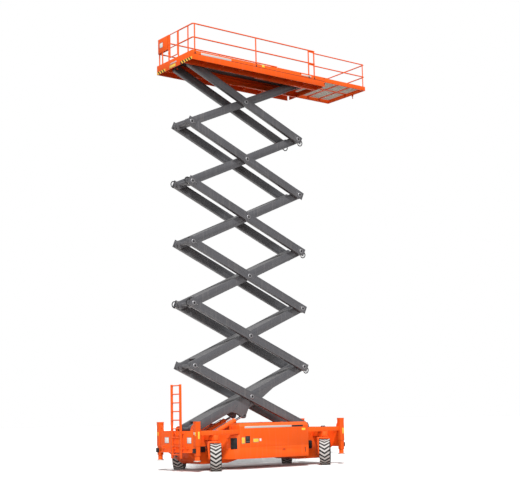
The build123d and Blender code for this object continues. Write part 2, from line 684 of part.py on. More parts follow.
for n in range(1, stages + 1):
    cx = base_pivot_x + arm_span / 2
    cz = base_pivot_z + (n - 0.5) * stage_h

    def rising(y):
        return facing_y(y, cx, cz, arm_angle)

    def falling(y):
        return facing_y(y, cx, cz, -arm_angle)

    with BuildPart() as inner_arms:
        for lo, hi in ((inner_y0, inner_y1), (-inner_y1, -inner_y0)):
            beam(lo, hi, rising)
        tube_end = inner_y0 + arm_wall / 2
        across(rising, -tube_end, tube_end, pivots, tube_d, pin_sides)
        across(rising, -tube_end, tube_end, (-brace_s, brace_s), brace_d, pin_sides)
        # pins through the outer arms; the lowest ones reach the rails, the highest carry rollers
        pin_in = inner_y1 - arm_wall / 2
        reaches = [outer_y1 - 2] * 3
        if n == 1:
            reaches[0] = rail_out - 2
        if n == stages:
            reaches[2] = roller_y1
        for s, reach in zip(pivots, reaches):
            sides = pin_sides if s > 0 else 0
            across(rising, pin_in, reach, [s], pin_d, sides)
            across(rising, -reach, -pin_in, [s], pin_d, sides)
        if n == stages:
            across(rising, roller_y0, roller_y1, pivots[2:], roller_d)
            across(rising, -roller_y1, -roller_y0, pivots[2:], roller_d)
        if n == 1:
            # lever plates under both sides of each beam that the lift cylinders push on
            along = (cyl_pin_x - cx) * cos(radians(arm_angle)) + (cyl_pin_z - cz) * sin(radians(arm_angle))
            up = (cyl_pin_z - cz) * cos(radians(arm_angle)) - (cyl_pin_x - cx) * sin(radians(arm_angle))
            foot = arm_wall / 2 - arm_h / 2
            shape = [(along + s, foot - drop) for s, drop in gusset_shape]
            chin = up - gusset_eye_r * 0.3
            shape[2:2] = [(along - gusset_eye_r * 0.9, chin), (along + gusset_eye_r * 0.9, chin)]
            for y in (inner_y0 + gusset_t, inner_y1, -inner_y0, -inner_y1 + gusset_t):
                with BuildSketch(rising(y)):
                    Polygon(*shape, align=None)
                    with Locations((along, up)):
                        Circle(gusset_eye_r)
                extrude(amount=gusset_t)
    keep(inner_arms, f"inner_arms_{n}")

    with BuildPart() as outer_arms:
        for lo, hi in ((outer_y0, outer_y1), (-outer_y1, -outer_y0)):
            beam(lo, hi, falling)
            across(falling, lo, hi, pivots, pin_hole_d, pin_sides, mode=Mode.SUBTRACT)
        if n == 1:
            for side in (-1, 1):
                stub = sorted((side * outer_y0, side * roller_y1))
                across(falling, *stub, pivots[2:], pin_hole_d + 2, pin_sides)
                across(falling, *sorted((side * roller_y0, side * roller_y1)), pivots[2:], roller_d)
    keep(outer_arms, f"outer_arms_{n}")

for n, ends in hose_ends:
    middle = (base_pivot_x + arm_span / 2, base_pivot_z + (n - 0.5) * stage_h)
    hose_plane = facing_y(-(outer_y0 + outer_y1) / 2, *middle, -arm_angle)
    with BuildPart() as hose_loops:
        for end in ends:
            with BuildLine(hose_plane) as route:
                points = [(end * (end_s + out), up) for out, up in hose_route]
                FilletPolyline(*points, radius=hose_bends)
            with BuildSketch(Plane(origin=route.line @ 0, z_dir=route.line % 0)) as section:
                RegularPolygon(hose_d / 2, hose_sides)
            sweep(section.sketch, path=route.line)
    keep(hose_loops, f"hose_loops_{n}")

# ---------------------------------------------------------------- lift cylinders

cyl_tilt = degrees(atan2(cyl_pin_z - cyl_base_z, cyl_pin_x - cyl_base_x))
cyl_l = hypot(cyl_pin_x - cyl_base_x, cyl_pin_z - cyl_base_z)


def cylinder_plane(s):
    """Plane square to the cylinder, s along it from its base pin, on the machine's middle."""
    a = radians(cyl_tilt)
    return Plane(origin=(cyl_base_x + s * cos(a), 0, cyl_base_z + s * sin(a)),
                 x_dir=(0, 1, 0), z_dir=(cos(a), 0, sin(a)))


both = ((cyl_y, 0), (-cyl_y, 0))
eye_w = inner_y1 - inner_y0 - 2 * gusset_t - 2 * touch

with BuildPart() as lift_barrels:
    with BuildSketch(cylinder_plane(eye_d / 2 - arm_wall)):
        with Locations(*both):
            Circle(barrel_d / 2)
    extrude(amount=barrel_l - eye_d / 2 + arm_wall)
    for y in (cyl_y, -cyl_y):
        bar_y(cyl_base_x, cyl_base_z, y - eye_w / 2, y + eye_w / 2, eye_d)
        bar_y(cyl_base_x, cyl_base_z, y - eye_w, y + eye_w, pin_d + 2 * run, mode=Mode.SUBTRACT)
    with BuildSketch(cylinder_plane(eye_d)):
        with Locations(*both):
            Circle(rod_d / 2 + run)
    extrude(amount=barrel_l, mode=Mode.SUBTRACT)
keep(lift_barrels, "lift_barrels")

with BuildPart() as lift_rods:
    with BuildSketch(cylinder_plane(barrel_l - rod_inside)):
        with Locations(*both):
            Circle(rod_d / 2)
    extrude(amount=cyl_l - barrel_l + rod_inside)
    for y in (cyl_y, -cyl_y):
        bar_y(cyl_pin_x, cyl_pin_z, y - eye_w / 2, y + eye_w / 2, eye_d)
keep(lift_rods, "lift_rods")

# ---------------------------------------------------------------- platform

half_deck = deck_w / 2
beam_in = half_deck - deck_ridge - deck_beam_t      # inner face of the side beams
ledge_z = ext_z0 - touch
upstand_y = beam_in - ledge_in
track_z = top_pivot_z + roller_d / 2 + touch
channel_out = rail_in + channel_w
inside_x0, inside_x1 = deck_x0 + deck_beam_t, deck_x1 - deck_beam_t

with BuildPart() as platform_side_beams:
    # folded beam with the slide-out deck's runner along its inside
    for side in (-1, 1):
        profile = [(half_deck - deck_ridge, deck_beam_z0), (half_deck, deck_beam_z0 + deck_ridge_up),
                   (half_deck - deck_ridge, deck_beam_z1), (beam_in, deck_beam_z1),
                   (beam_in, ledge_z), (upstand_y + upstand_t, ledge_z),
                   (upstand_y + upstand_t, floor_z), (upstand_y, floor_z),
                   (upstand_y, ledge_z - ledge_t), (beam_in, ledge_z - ledge_t),
                   (beam_in, deck_beam_z0)]
        with BuildSketch(facing_x(inside_x0)):
            Polygon(*[(side * y, z) for y, z in profile], align=None)
        extrude(amount=deck_x1 - inside_x0)
keep(platform_side_beams, "platform_side_beams")

with BuildPart() as platform_cross_members:
    block(deck_x0, inside_x0, -half_deck, half_deck, deck_beam_z0, deck_beam_z1)
    block(inside_x1, deck_x1, -upstand_y, upstand_y, deck_beam_z0, ext_z0 - swing)
    for side in (-1, 1):
        for x in cross_x:
            block(x - cross_t / 2, x + cross_t / 2, side * channel_out, side * beam_in,
                  deck_beam_z0 + cross_up, ledge_z - ledge_t)
keep(platform_cross_members, "platform_cross_members")

with BuildPart() as platform_channels:
    # roller tracks, with the lugs and pins of the highest fixed pivots
    web_y = channel_out - channel_t
    for side in (-1, 1):
        profile = [(rail_in, track_z), (web_y, track_z), (web_y, deck_beam_z0),
                   (channel_out, deck_beam_z0), (channel_out, floor_z), (rail_in, floor_z),
                   (rail_in, floor_z - plate_t), (web_y, floor_z - plate_t),
                   (web_y, track_z + channel_t), (rail_in, track_z + channel_t)]
        with BuildSketch(facing_x(inside_x0)):
            Polygon(*[(side * y, z) for y, z in profile], align=None)
        extrude(amount=inside_x1 - inside_x0)
        block(0, inside_x1, side * rail_in, side * channel_out, deck_beam_z0,
              deck_beam_z0 + channel_lip_t)
        with BuildSketch(facing_y(rail_out if side > 0 else -rail_in)):
            with Locations((base_pivot_x, top_pivot_z)):
                Circle(top_lug_r)
            with Locations((base_pivot_x, (top_pivot_z + track_z) / 2 + channel_t / 2)):
                Rectangle(2 * top_lug_r, track_z - top_pivot_z + channel_t)
        extrude(amount=rail_t)
        bar_y(base_pivot_x, top_pivot_z, side * (outer_y0 + 2), side * (rail_out + channel_t), pin_d)
keep(platform_channels, "platform_channels")

with BuildPart() as platform_deck:
    block(inside_x0, deck_x1, -floor_half, floor_half, floor_z, floor_z + floor_t)
keep(platform_deck, "platform_deck")


def rail_run(points, d, radius):
    """Bent tube through the points, as a solid bar of the tube's size."""
    with BuildLine() as path:
        FilletPolyline(*points, radius=radius)
    with BuildSketch(Plane(origin=path.line @ 0, z_dir=path.line % 0)) as section:
        RegularPolygon(d / 2, rail_sides)
    sweep(section.sketch, path=path.line)


floor_top = floor_z + floor_t
x_end = deck_x0 + end_rail_in

with BuildPart() as platform_rails:
    for side, y_gate in ((-1, gate_y0), (1, gate_y1)):
        y_end = y_gate - side * (rail_post_d / 2 + swing)
        for z in (mid_rail_z, rail_z):
            rail_run([(rail_x1, side * rail_y, z), (x_end, side * rail_y, z), (x_end, y_end, z)],
                     rail_tube_d, rail_corner)
        for x in post_x:
            post(x, side * rail_y, deck_beam_z1, rail_z, rail_post_d)
        for y in (y_gate, side * end_post_y):
            post(x_end, y, floor_top, rail_z, rail_post_d)
keep(platform_rails, "platform_rails")

with BuildPart() as control_panel:
    rail_face = x_end + rail_tube_d / 2 + touch
    x_panel = rail_face + panel_off
    block(x_panel, x_panel + panel_t, panel_y0, panel_y1, mid_rail_z - panel_t, rail_z)
    for y in (panel_y0 + 3 * panel_t, panel_y1 - 6 * panel_t):
        for z in (mid_rail_z, rail_z - panel_t / 3):
            block(rail_face, x_panel + 1, y - panel_t / 2, y + panel_t / 2,
                  z - panel_t / 3, z + panel_t / 3)
keep(control_panel, "control_panel")

with BuildPart() as gate:
    y0, y1 = gate_y0 + gate_gap0, gate_y1 - gate_gap1
    for z in (floor_top + gate_up, mid_rail_z, rail_z):
        prism_y(x_end, z, y0, y1, gate_tube_d, rail_sides)
    for y in (y0, y1):
        post(x_end, y, floor_top + gate_up, rail_z, gate_post_d)
    for z in (mid_rail_z - gate_hinge_up, mid_rail_z + gate_hinge_up):
        block(x_end - gate_post_d / 3, x_end + gate_post_d / 3, y1, gate_y1,
              z - gate_hinge_h / 2, z + gate_hinge_h / 2)
        with BuildSketch(Plane(origin=(x_end, gate_y1, z - gate_hinge_h / 2))):
            RegularPolygon(gate_hinge_d / 2, pin_sides)
        extrude(amount=gate_hinge_h)
        with Locations((x_end, gate_y1, z)):
            Cylinder(rail_post_d / 2 + run, gate_hinge_h, mode=Mode.SUBTRACT)
keep(gate, "gate")

bar_z1 = ext_z1 - ext_top_gap
bar_z0 = bar_z1 - ext_bar_t
ext_bars = (ext_x0 + ext_cross_w / 2, deck_x1 + ext_cross_w, *ext_cross_x)
ext_beam_end = ext_x1 - ext_bar_w

with BuildPart() as extension_deck:
    # two side beams, the end beam and the grid of bars between them
    for side in (-1, 1):
        block(ext_x0, ext_beam_end - touch, side * ext_beam_y0, side * ext_beam_y1, ext_z0, ext_z1)
    block(ext_beam_end, ext_x1, -ext_beam_y1, ext_beam_y1, ext_z0, ext_z1)
    grid_y = ext_beam_y0 - touch
    for x in ext_bars:
        block(x - ext_cross_w / 2, x + ext_cross_w / 2, -grid_y, grid_y, bar_z0, bar_z1)
    block(ext_x0 + 1, ext_beam_end - touch, -ext_cross_w / 2, ext_cross_w / 2, bar_z0, bar_z1)
keep(extension_deck, "extension_deck")

with BuildPart() as extension_grating:
    edges = [x + ext_cross_w / 2 for x in ext_bars]
    ends = [x - ext_cross_w / 2 for x in ext_bars[1:]] + [ext_beam_end - touch]
    for x0, x1 in zip(edges, ends):
        for side in (-1, 1):
            block(x0, x1, side * ext_cross_w / 2, side * grid_y, bar_z1 - grating_t, bar_z1)
keep(extension_grating, "extension_grating")

with BuildPart() as extension_rails:
    y_r = (ext_beam_y0 + ext_beam_y1) / 2
    x_r = ext_x1 - ext_bar_w / 2 - swing
    x_start = ext_x0 + 1.5 * ext_bar_w
    for z in (ext_mid_z, ext_rail_z):
        rail_run([(x_start, -y_r, z), (x_r, -y_r, z), (x_r, y_r, z), (x_start, y_r, z)],
                 ext_tube_d, ext_corner)
    for side in (-1, 1):
        for x in (x_start + ext_post_d, ext_x1 - ext_post_in):
            post(x, side * y_r, ext_z1, ext_rail_z, ext_post_d)
keep(extension_rails, "extension_rails")
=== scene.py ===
import json
import math

import bmesh
import bpy
from mathutils import Matrix, Vector


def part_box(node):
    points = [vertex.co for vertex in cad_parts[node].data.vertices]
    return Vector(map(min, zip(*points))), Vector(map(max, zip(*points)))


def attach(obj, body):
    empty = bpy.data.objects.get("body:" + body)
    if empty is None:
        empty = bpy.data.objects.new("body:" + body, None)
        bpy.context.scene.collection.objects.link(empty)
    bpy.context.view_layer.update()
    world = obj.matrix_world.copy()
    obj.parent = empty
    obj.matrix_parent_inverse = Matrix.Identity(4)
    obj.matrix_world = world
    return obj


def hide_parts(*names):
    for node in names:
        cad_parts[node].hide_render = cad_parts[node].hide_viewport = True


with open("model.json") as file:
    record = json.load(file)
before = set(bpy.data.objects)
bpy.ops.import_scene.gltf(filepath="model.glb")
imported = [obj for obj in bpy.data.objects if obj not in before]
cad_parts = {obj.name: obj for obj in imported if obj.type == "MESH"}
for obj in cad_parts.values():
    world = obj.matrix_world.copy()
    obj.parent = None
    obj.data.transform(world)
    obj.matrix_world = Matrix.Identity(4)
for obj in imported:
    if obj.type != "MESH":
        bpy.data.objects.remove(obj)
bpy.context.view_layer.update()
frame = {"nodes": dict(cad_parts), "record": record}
scene = bpy.context.scene
print("frame loaded:", len(frame["nodes"]), "nodes")


# ---------------------------------------- camera, floor and light

shot = {
    "stand": (-25.879, -33.078, 1.971),   # eye low down, well back from the near left corner
    "yaw": -37.67, "pitch": 8.534, "roll": -1.238,
    "lens": 76.5, "sensor": 36.0,
}


def makeCamera():
    yaw, pitch, roll = (math.radians(shot[k]) for k in ("yaw", "pitch", "roll"))
    ahead = Vector((-math.sin(yaw) * math.cos(pitch), math.cos(yaw) * math.cos(pitch), math.sin(pitch)))
    level = Vector((math.cos(yaw), math.sin(yaw), 0))
    up = level.cross(ahead)
    right = level * math.cos(roll) + up * math.sin(roll)
    top = up * math.cos(roll) - level * math.sin(roll)
    turn = Matrix((right, top, -ahead)).transposed()
    data = bpy.data.cameras.new("camera")
    data.lens, data.sensor_width = shot["lens"], shot["sensor"]
    data.clip_end = 400
    camera = bpy.data.objects.new("camera", data)
    camera.matrix_world = Matrix.Translation(shot["stand"]) @ turn.to_4x4()
    scene.collection.objects.link(camera)
    scene.camera = camera


studio = {
    "floorHalf": 150.0,
    "floorSeen": (0.97, 0.96, 0.95), "floorBounce": (0.26, 0.18, 0.15),
    "sky": (0.96, 0.98, 1.0), "skyStrength": 0.42,
    "lamps": {                            # tilt, turn, strength, spread
        "key": (36.0, -36.0, 3.3, 7.0), "front": (80.0, -38.0, 1.75, 35.0),
    },
}


def makeFloor():
    mesh = bpy.data.meshes.new("floor")
    bm = bmesh.new()
    bmesh.ops.create_grid(bm, x_segments=1, y_segments=1, size=studio["floorHalf"])
    bm.to_mesh(mesh)
    bm.free()
    floor = bpy.data.objects.new("floor", mesh)
    scene.collection.objects.link(floor)
    material = bpy.data.materials.new("palePaper")
    material.use_nodes = True
    nodes, links = material.node_tree.nodes, material.node_tree.links
    nodes.clear()
    out = nodes.new("ShaderNodeOutputMaterial")
    path = nodes.new("ShaderNodeLightPath")
    seen = nodes.new("ShaderNodeMath")
    seen.operation = "ADD"
    seen.use_clamp = True
    links.new(path.outputs["Is Camera Ray"], seen.inputs[0])
    links.new(path.outputs["Is Glossy Ray"], seen.inputs[1])
    mix = nodes.new("ShaderNodeMixShader")
    links.new(seen.outputs[0], mix.inputs[0])
    for slot, key in ((1, "floorBounce"), (2, "floorSeen")):
        matt = nodes.new("ShaderNodeBsdfDiffuse")
        matt.inputs["Color"].default_value = (*studio[key], 1)
        links.new(matt.outputs[0], mix.inputs[slot])
    links.new(mix.outputs[0], out.inputs["Surface"])
    mesh.materials.append(material)


def makeLight():
    world = bpy.data.worlds.new("studio")
    scene.world = world
    world.use_nodes = True
    nodes, links = world.node_tree.nodes, world.node_tree.links
    nodes.clear()
    out = nodes.new("ShaderNodeOutputWorld")
    soft = nodes.new("ShaderNodeBackground")
    soft.inputs["Color"].default_value = (*studio["sky"], 1)
    soft.inputs["Strength"].default_value = studio["skyStrength"]
    white = nodes.new("ShaderNodeBackground")
    white.inputs["Color"].default_value = (1, 1, 1, 1)
    path = nodes.new("ShaderNodeLightPath")
    seen = nodes.new("ShaderNodeMath")
    seen.operation = "ADD"
    seen.use_clamp = True
    mix = nodes.new("ShaderNodeMixShader")
    links.new(path.outputs["Is Camera Ray"], seen.inputs[0])
    links.new(path.outputs["Is Transmission Ray"], seen.inputs[1])
    links.new(seen.outputs[0], mix.inputs[0])
    links.new(soft.outputs[0], mix.inputs[1])
    links.new(white.outputs[0], mix.inputs[2])
    links.new(mix.outputs[0], out.inputs["Surface"])
    for name, (tilt, turn, strength, spread) in studio["lamps"].items():
        data = bpy.data.lights.new(name, "SUN")
        data.energy = strength
        data.angle = math.radians(spread)
        lamp = bpy.data.objects.new(name, data)
        turned = Matrix.Rotation(math.radians(turn), 4, "Z")
        lamp.matrix_world = turned @ Matrix.Rotation(math.radians(tilt), 4, "X")
        scene.collection.objects.link(lamp)


# ---------------------------------------- shared surface effects

def addSocket(group, name, kind, output=False, value=None):
    socket = group.interface.new_socket(name, in_out="OUTPUT" if output else "INPUT", socket_type=kind)
    if value is not None:
        socket.default_value = value


def makeGrime():
    # dust that lies on upward faces, faint runs below, and a slow change of tone
    group = bpy.data.node_groups.new("grime", "ShaderNodeTree")
    addSocket(group, "Colour", "NodeSocketColor")
    addSocket(group, "Dust colour", "NodeSocketColor", value=(0.45, 0.42, 0.38, 1))
    addSocket(group, "Dust", "NodeSocketFloat", value=0.2)
    addSocket(group, "Runs", "NodeSocketFloat", value=0.12)
    addSocket(group, "Tone", "NodeSocketFloat", value=0.08)
    addSocket(group, "Roughness", "NodeSocketFloat", value=0.4)
    addSocket(group, "Colour", "NodeSocketColor", output=True)
    addSocket(group, "Roughness", "NodeSocketFloat", output=True)
    nodes, links = group.nodes, group.links
    inside, out = nodes.new("NodeGroupInput"), nodes.new("NodeGroupOutput")
    where = nodes.new("ShaderNodeTexCoord")
    slow = nodes.new("ShaderNodeTexNoise")
    slow.inputs["Scale"].default_value = 1.3
    slow.inputs["Detail"].default_value = 5
    links.new(where.outputs["Object"], slow.inputs["Vector"])
    toneBy = mathNode(nodes, links, "MULTIPLY", slow.outputs["Fac"], inside.outputs["Tone"])
    tone = nodes.new("ShaderNodeMix")
    tone.data_type, tone.blend_type = "RGBA", "MULTIPLY"
    tone.inputs["B"].default_value = (0.35, 0.33, 0.32, 1)
    links.new(toneBy.outputs[0], tone.inputs["Factor"])
    links.new(inside.outputs["Colour"], tone.inputs["A"])
    stretch = nodes.new("ShaderNodeMapping")
    stretch.inputs["Scale"].default_value = (14, 14, 0.9)
    run = nodes.new("ShaderNodeTexNoise")
    run.inputs["Scale"].default_value = 1.0
    run.inputs["Detail"].default_value = 4
    links.new(where.outputs["Object"], stretch.inputs["Vector"])
    links.new(stretch.outputs[0], run.inputs["Vector"])
    thin = rangeNode(nodes, links, run.outputs["Fac"], 0.52, 0.75, 0, 1)
    runsBy = mathNode(nodes, links, "MULTIPLY", thin.outputs[0], inside.outputs["Runs"])
    runs = nodes.new("ShaderNodeMix")
    runs.data_type, runs.blend_type = "RGBA", "MIX"
    links.new(runsBy.outputs[0], runs.inputs["Factor"])
    links.new(tone.outputs["Result"], runs.inputs["A"])
    links.new(inside.outputs["Dust colour"], runs.inputs["B"])
    shape = nodes.new("ShaderNodeNewGeometry")
    split = nodes.new("ShaderNodeSeparateXYZ")
    links.new(shape.outputs["Normal"], split.inputs[0])
    upward = rangeNode(nodes, links, split.outputs["Z"], 0.35, 0.95, 0, 1)
    patch = nodes.new("ShaderNodeTexNoise")
    patch.inputs["Scale"].default_value = 7.0
    patch.inputs["Detail"].default_value = 6
    links.new(where.outputs["Object"], patch.inputs["Vector"])
    patchy = rangeNode(nodes, links, patch.outputs["Fac"], 0.35, 0.65, 0.35, 1)
    lying = mathNode(nodes, links, "MULTIPLY", upward.outputs[0], patchy.outputs[0])
    dustBy = mathNode(nodes, links, "MULTIPLY", lying.outputs[0], inside.outputs["Dust"])
    dust = nodes.new("ShaderNodeMix")
    dust.data_type, dust.blend_type = "RGBA", "MIX"
    links.new(dustBy.outputs[0], dust.inputs["Factor"])
    links.new(runs.outputs["Result"], dust.inputs["A"])
    links.new(inside.outputs["Dust colour"], dust.inputs["B"])
    links.new(dust.outputs["Result"], out.inputs["Colour"])
    dull = mathNode(nodes, links, "MULTIPLY", dustBy.outputs[0], None, 0.5)
    vary = rangeNode(nodes, links, patch.outputs["Fac"], 0.3, 0.7, -0.05, 0.07)
    rough = mathNode(nodes, links, "ADD", inside.outputs["Roughness"], dull.outputs[0])
    rough2 = mathNode(nodes, links, "ADD", rough.outputs[0], vary.outputs[0])
    links.new(rough2.outputs[0], out.inputs["Roughness"])
    return group


def mathNode(nodes, links, operation, a, b=None, value=None):
    node = nodes.new("ShaderNodeMath")
    node.operation = operation
    links.new(a, node.inputs[0])
    if b is not None:
        links.new(b, node.inputs[1])
    if value is not None:
        node.inputs[1].default_value = value
    return node


def rangeNode(nodes, links, value, low, high, newLow, newHigh):
    node = nodes.new("ShaderNodeMapRange")
    node.clamp = True
    links.new(value, node.inputs["Value"])
    for key, number in (("From Min", low), ("From Max", high), ("To Min", newLow), ("To Max", newHigh)):
        node.inputs[key].default_value = number
    return node


def makeGrain():
    # fine bumps: paint skin, cast skin or rubber, by scale and depth
    group = bpy.data.node_groups.new("grain", "ShaderNodeTree")
    addSocket(group, "Scale", "NodeSocketFloat", value=200)
    addSocket(group, "Height", "NodeSocketFloat", output=True)
    nodes, links = group.nodes, group.links
    inside, out = nodes.new("NodeGroupInput"), nodes.new("NodeGroupOutput")
    where = nodes.new("ShaderNodeTexCoord")
    fine = nodes.new("ShaderNodeTexNoise")
    fine.inputs["Detail"].default_value = 3
    links.new(where.outputs["Object"], fine.inputs["Vector"])
    links.new(inside.outputs["Scale"], fine.inputs["Scale"])
    links.new(fine.outputs["Fac"], out.inputs["Height"])
    return group


grime = makeGrime()
grain = makeGrain()

# one row a finish: colour, roughness, metallic, specular, dust, runs, tone, grain scale, bump
finishes = {
    "orangePaint": ((0.93, 0.118, 0.012), 0.42, 0.0, 0.16, 0.10, 0.05, 0.12, 260, 0.05),
    "greyPaint": ((0.088, 0.089, 0.097), 0.38, 0.0, 0.60, 0.20, 0.10, 0.22, 220, 0.06),
    "redPaint": ((0.80, 0.085, 0.012), 0.42, 0.0, 0.16, 0.12, 0.08, 0.16, 260, 0.05),
    "treadRubber": ((0.018, 0.018, 0.019), 0.75, 0.0, 0.30, 0.20, 0.20, 0.30, 160, 0.25),
    # wornTread is a painted highlight: pale grey on every lug top in place of sunlit rubber
    "wornTread": ((0.60, 0.59, 0.57), 0.80, 0.0, 0.30, 0.20, 0.30, 0.45, 120, 0.30),
    "rodChrome": ((0.72, 0.73, 0.75), 0.12, 1.0, 0.50, 0.05, 0.05, 0.10, 300, 0.01),
    "castIron": ((0.05, 0.05, 0.052), 0.65, 0.3, 0.40, 0.20, 0.10, 0.30, 120, 0.20),
    "blackPlastic": ((0.014, 0.014, 0.016), 0.50, 0.0, 0.30, 0.10, 0.06, 0.20, 300, 0.08),
    # blackDeck is painted shade: near-black brown for the deck plate's shaded underside and the beam's fold
    # line
    "blackDeck": ((0.045, 0.030, 0.026), 0.60, 0.0, 0.25, 0.20, 0.10, 0.25, 90, 0.20),
    "whiteLabel": ((0.82, 0.82, 0.80), 0.40, 0.0, 0.40, 0.08, 0.10, 0.16, 300, 0.02),
    "paleLabel": ((0.60, 0.56, 0.53), 0.45, 0.0, 0.40, 0.10, 0.10, 0.25, 300, 0.02),
    "yellowLabel": ((0.93, 0.58, 0.06), 0.40, 0.0, 0.40, 0.08, 0.08, 0.12, 300, 0.02),
    "galvanised": ((0.56, 0.55, 0.49), 0.50, 0.35, 0.50, 0.15, 0.10, 0.35, 60, 0.05),
    "zincBolt": ((0.50, 0.48, 0.44), 0.38, 0.85, 0.50, 0.10, 0.05, 0.20, 200, 0.03),
    "pinSteel": ((0.26, 0.26, 0.27), 0.40, 0.5, 0.50, 0.15, 0.10, 0.30, 200, 0.04),
    "hoseRubber": ((0.014, 0.014, 0.015), 0.55, 0.0, 0.30, 0.12, 0.06, 0.20, 350, 0.06),
}


def makeFinish(name):
    colour, rough, metal, gloss, dust, runs, tone, scale, bump = finishes[name]
    material = bpy.data.materials.new(name)
    material.use_nodes = True
    nodes, links = material.node_tree.nodes, material.node_tree.links
    shader = nodes["Principled BSDF"]
    dirt = nodes.new("ShaderNodeGroup")
    dirt.node_tree = grime
    dirt.inputs["Colour"].default_value = (*colour, 1)
    for key, number in (("Dust", dust), ("Runs", runs), ("Tone", tone), ("Roughness", rough)):
        dirt.inputs[key].default_value = number
    links.new(dirt.outputs["Colour"], shader.inputs["Base Color"])
    links.new(dirt.outputs["Roughness"], shader.inputs["Roughness"])
    skin = nodes.new("ShaderNodeGroup")
    skin.node_tree = grain
    skin.inputs["Scale"].default_value = scale
    relief = nodes.new("ShaderNodeBump")
    relief.inputs["Strength"].default_value = bump
    relief.inputs["Distance"].default_value = 0.002
    links.new(skin.outputs["Height"], relief.inputs["Height"])
    links.new(relief.outputs["Normal"], shader.inputs["Normal"])
    shader.inputs["Metallic"].default_value = metal
    shader.inputs["Specular IOR Level"].default_value = gloss
    return material


materials = {name: makeFinish(name) for name in finishes}
print("finishes made:", len(materials))

# which finish each node of the frame takes
nodeFinish = {
    "tyre": "treadRubber", "inner_arms": "greyPaint", "outer_arms": "greyPaint",
    "lift_rods": "rodChrome", "engine_block": "castIron", "hose_loop": "hoseRubber",
    # the deck plate takes near-black painted shade, standing in for the shadow between the cross members seen
    # from below
    "jack_lamps": "blackPlastic", "control_panel": "orangePaint", "platform_deck": "blackDeck",
    "extension_grating": "galvanised",
}
bodyOf = {node: body for body, nodes in frame["record"]["behaviour"]["bodies"].items() for node in nodes}
joints = {joint["name"]: joint for joint in frame["record"]["behaviour"]["joints"]}


def finishOf(node):
    return next((f for start, f in nodeFinish.items() if node.startswith(start)), "orangePaint")


def dressNodes():
    for name, node in frame["nodes"].items():
        node.data.materials.clear()
        node.data.materials.append(materials[finishOf(name)])


makeCamera()
makeFloor()
makeLight()
dressNodes()
print("camera, floor, light and node finishes set")


# ---------------------------------------- making pieces

sharpFrom = math.radians(25)      # edges that turn more than this stay crisp


def makePiece(name, bm, finish, body, replaces=()):
    names = [finish] if isinstance(finish, str) else finish
    for face in bm.faces:
        face.smooth = True
    for edge in bm.edges:
        edge.smooth = edge.calc_face_angle(0) < sharpFrom
    mesh = bpy.data.meshes.new(name)
    bm.to_mesh(mesh)
    bm.free()
    for one in names:
        mesh.materials.append(materials[one])
    piece = bpy.data.objects.new(name, mesh)
    scene.collection.objects.link(piece)
    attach(piece, body)
    if replaces:
        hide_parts(*replaces)
    return piece


def facesOf(verts):
    return {face for vert in verts for face in vert.link_faces}


def layFaces(verts, layer):
    for face in facesOf(verts):
        face.material_index = layer


def roundEdges(bm, verts, width, segments=2, angle=35):
    edges = {edge for vert in verts for edge in vert.link_edges}
    edges = [edge for edge in edges if edge.calc_face_angle(0) > math.radians(angle)]
    return bmesh.ops.bevel(bm, geom=edges, offset=width, offset_type="OFFSET", segments=segments,
                           profile=0.5, affect="EDGES", clamp_overlap=True, material=-1)


def aim(centre, axis):
    turn = Vector((0, 0, 1)).rotation_difference(Vector(axis))
    return Matrix.Translation(centre) @ turn.to_matrix().to_4x4()


def addBox(bm, low, high, edge=0.0, layer=0, place=Matrix()):
    size = [b - a for a, b in zip(low, high)]
    middle = [(a + b) / 2 for a, b in zip(low, high)]
    verts = bmesh.ops.create_cube(bm, size=1.0, matrix=Matrix.Diagonal((*size, 1)))["verts"]
    bmesh.ops.transform(bm, matrix=place @ Matrix.Translation(middle), verts=verts)
    layFaces(verts, layer)
    if edge:
        roundEdges(bm, verts, edge)


def addPin(bm, centre, axis, radius, length, sides=24, edge=0.0, layer=0, tip=None):
    verts = bmesh.ops.create_cone(bm, cap_ends=True, cap_tris=False, segments=sides, radius1=radius,
                                  radius2=radius if tip is None else tip, depth=length,
                                  matrix=aim(centre, axis))["verts"]
    layFaces(verts, layer)
    if edge:
        roundEdges(bm, verts, edge, angle=50)


def addTurned(bm, place, profile, steps=32, layer=0, closed=True):
    # turns a profile of (radius, along) points about the place's own Z
    verts = [bm.verts.new((radius, 0, along)) for radius, along in profile]
    pairs = list(zip(verts, verts[1:])) + ([(verts[-1], verts[0])] if closed else [])
    edges = [bm.edges.new(pair) for pair in pairs]
    bmesh.ops.spin(bm, geom=verts + edges, cent=(0, 0, 0), axis=(0, 0, 1), dvec=(0, 0, 0),
                   angle=math.tau, steps=steps, use_merge=True, use_duplicate=False)
    ring = {verts[0]}
    edge = [verts[0]]
    while edge:       # everything joined to the first vertex
        edge = [other for vert in edge for link in vert.link_edges
                for other in (link.other_vert(vert),) if other not in ring and not ring.add(other)]
    ring = list(ring)
    bmesh.ops.remove_doubles(bm, verts=ring, dist=0.00001)
    ring = [vert for vert in ring if vert.is_valid]
    bmesh.ops.recalc_face_normals(bm, faces=list(facesOf(ring)))
    layFaces(ring, layer)
    bmesh.ops.transform(bm, matrix=place, verts=ring)
    return ring


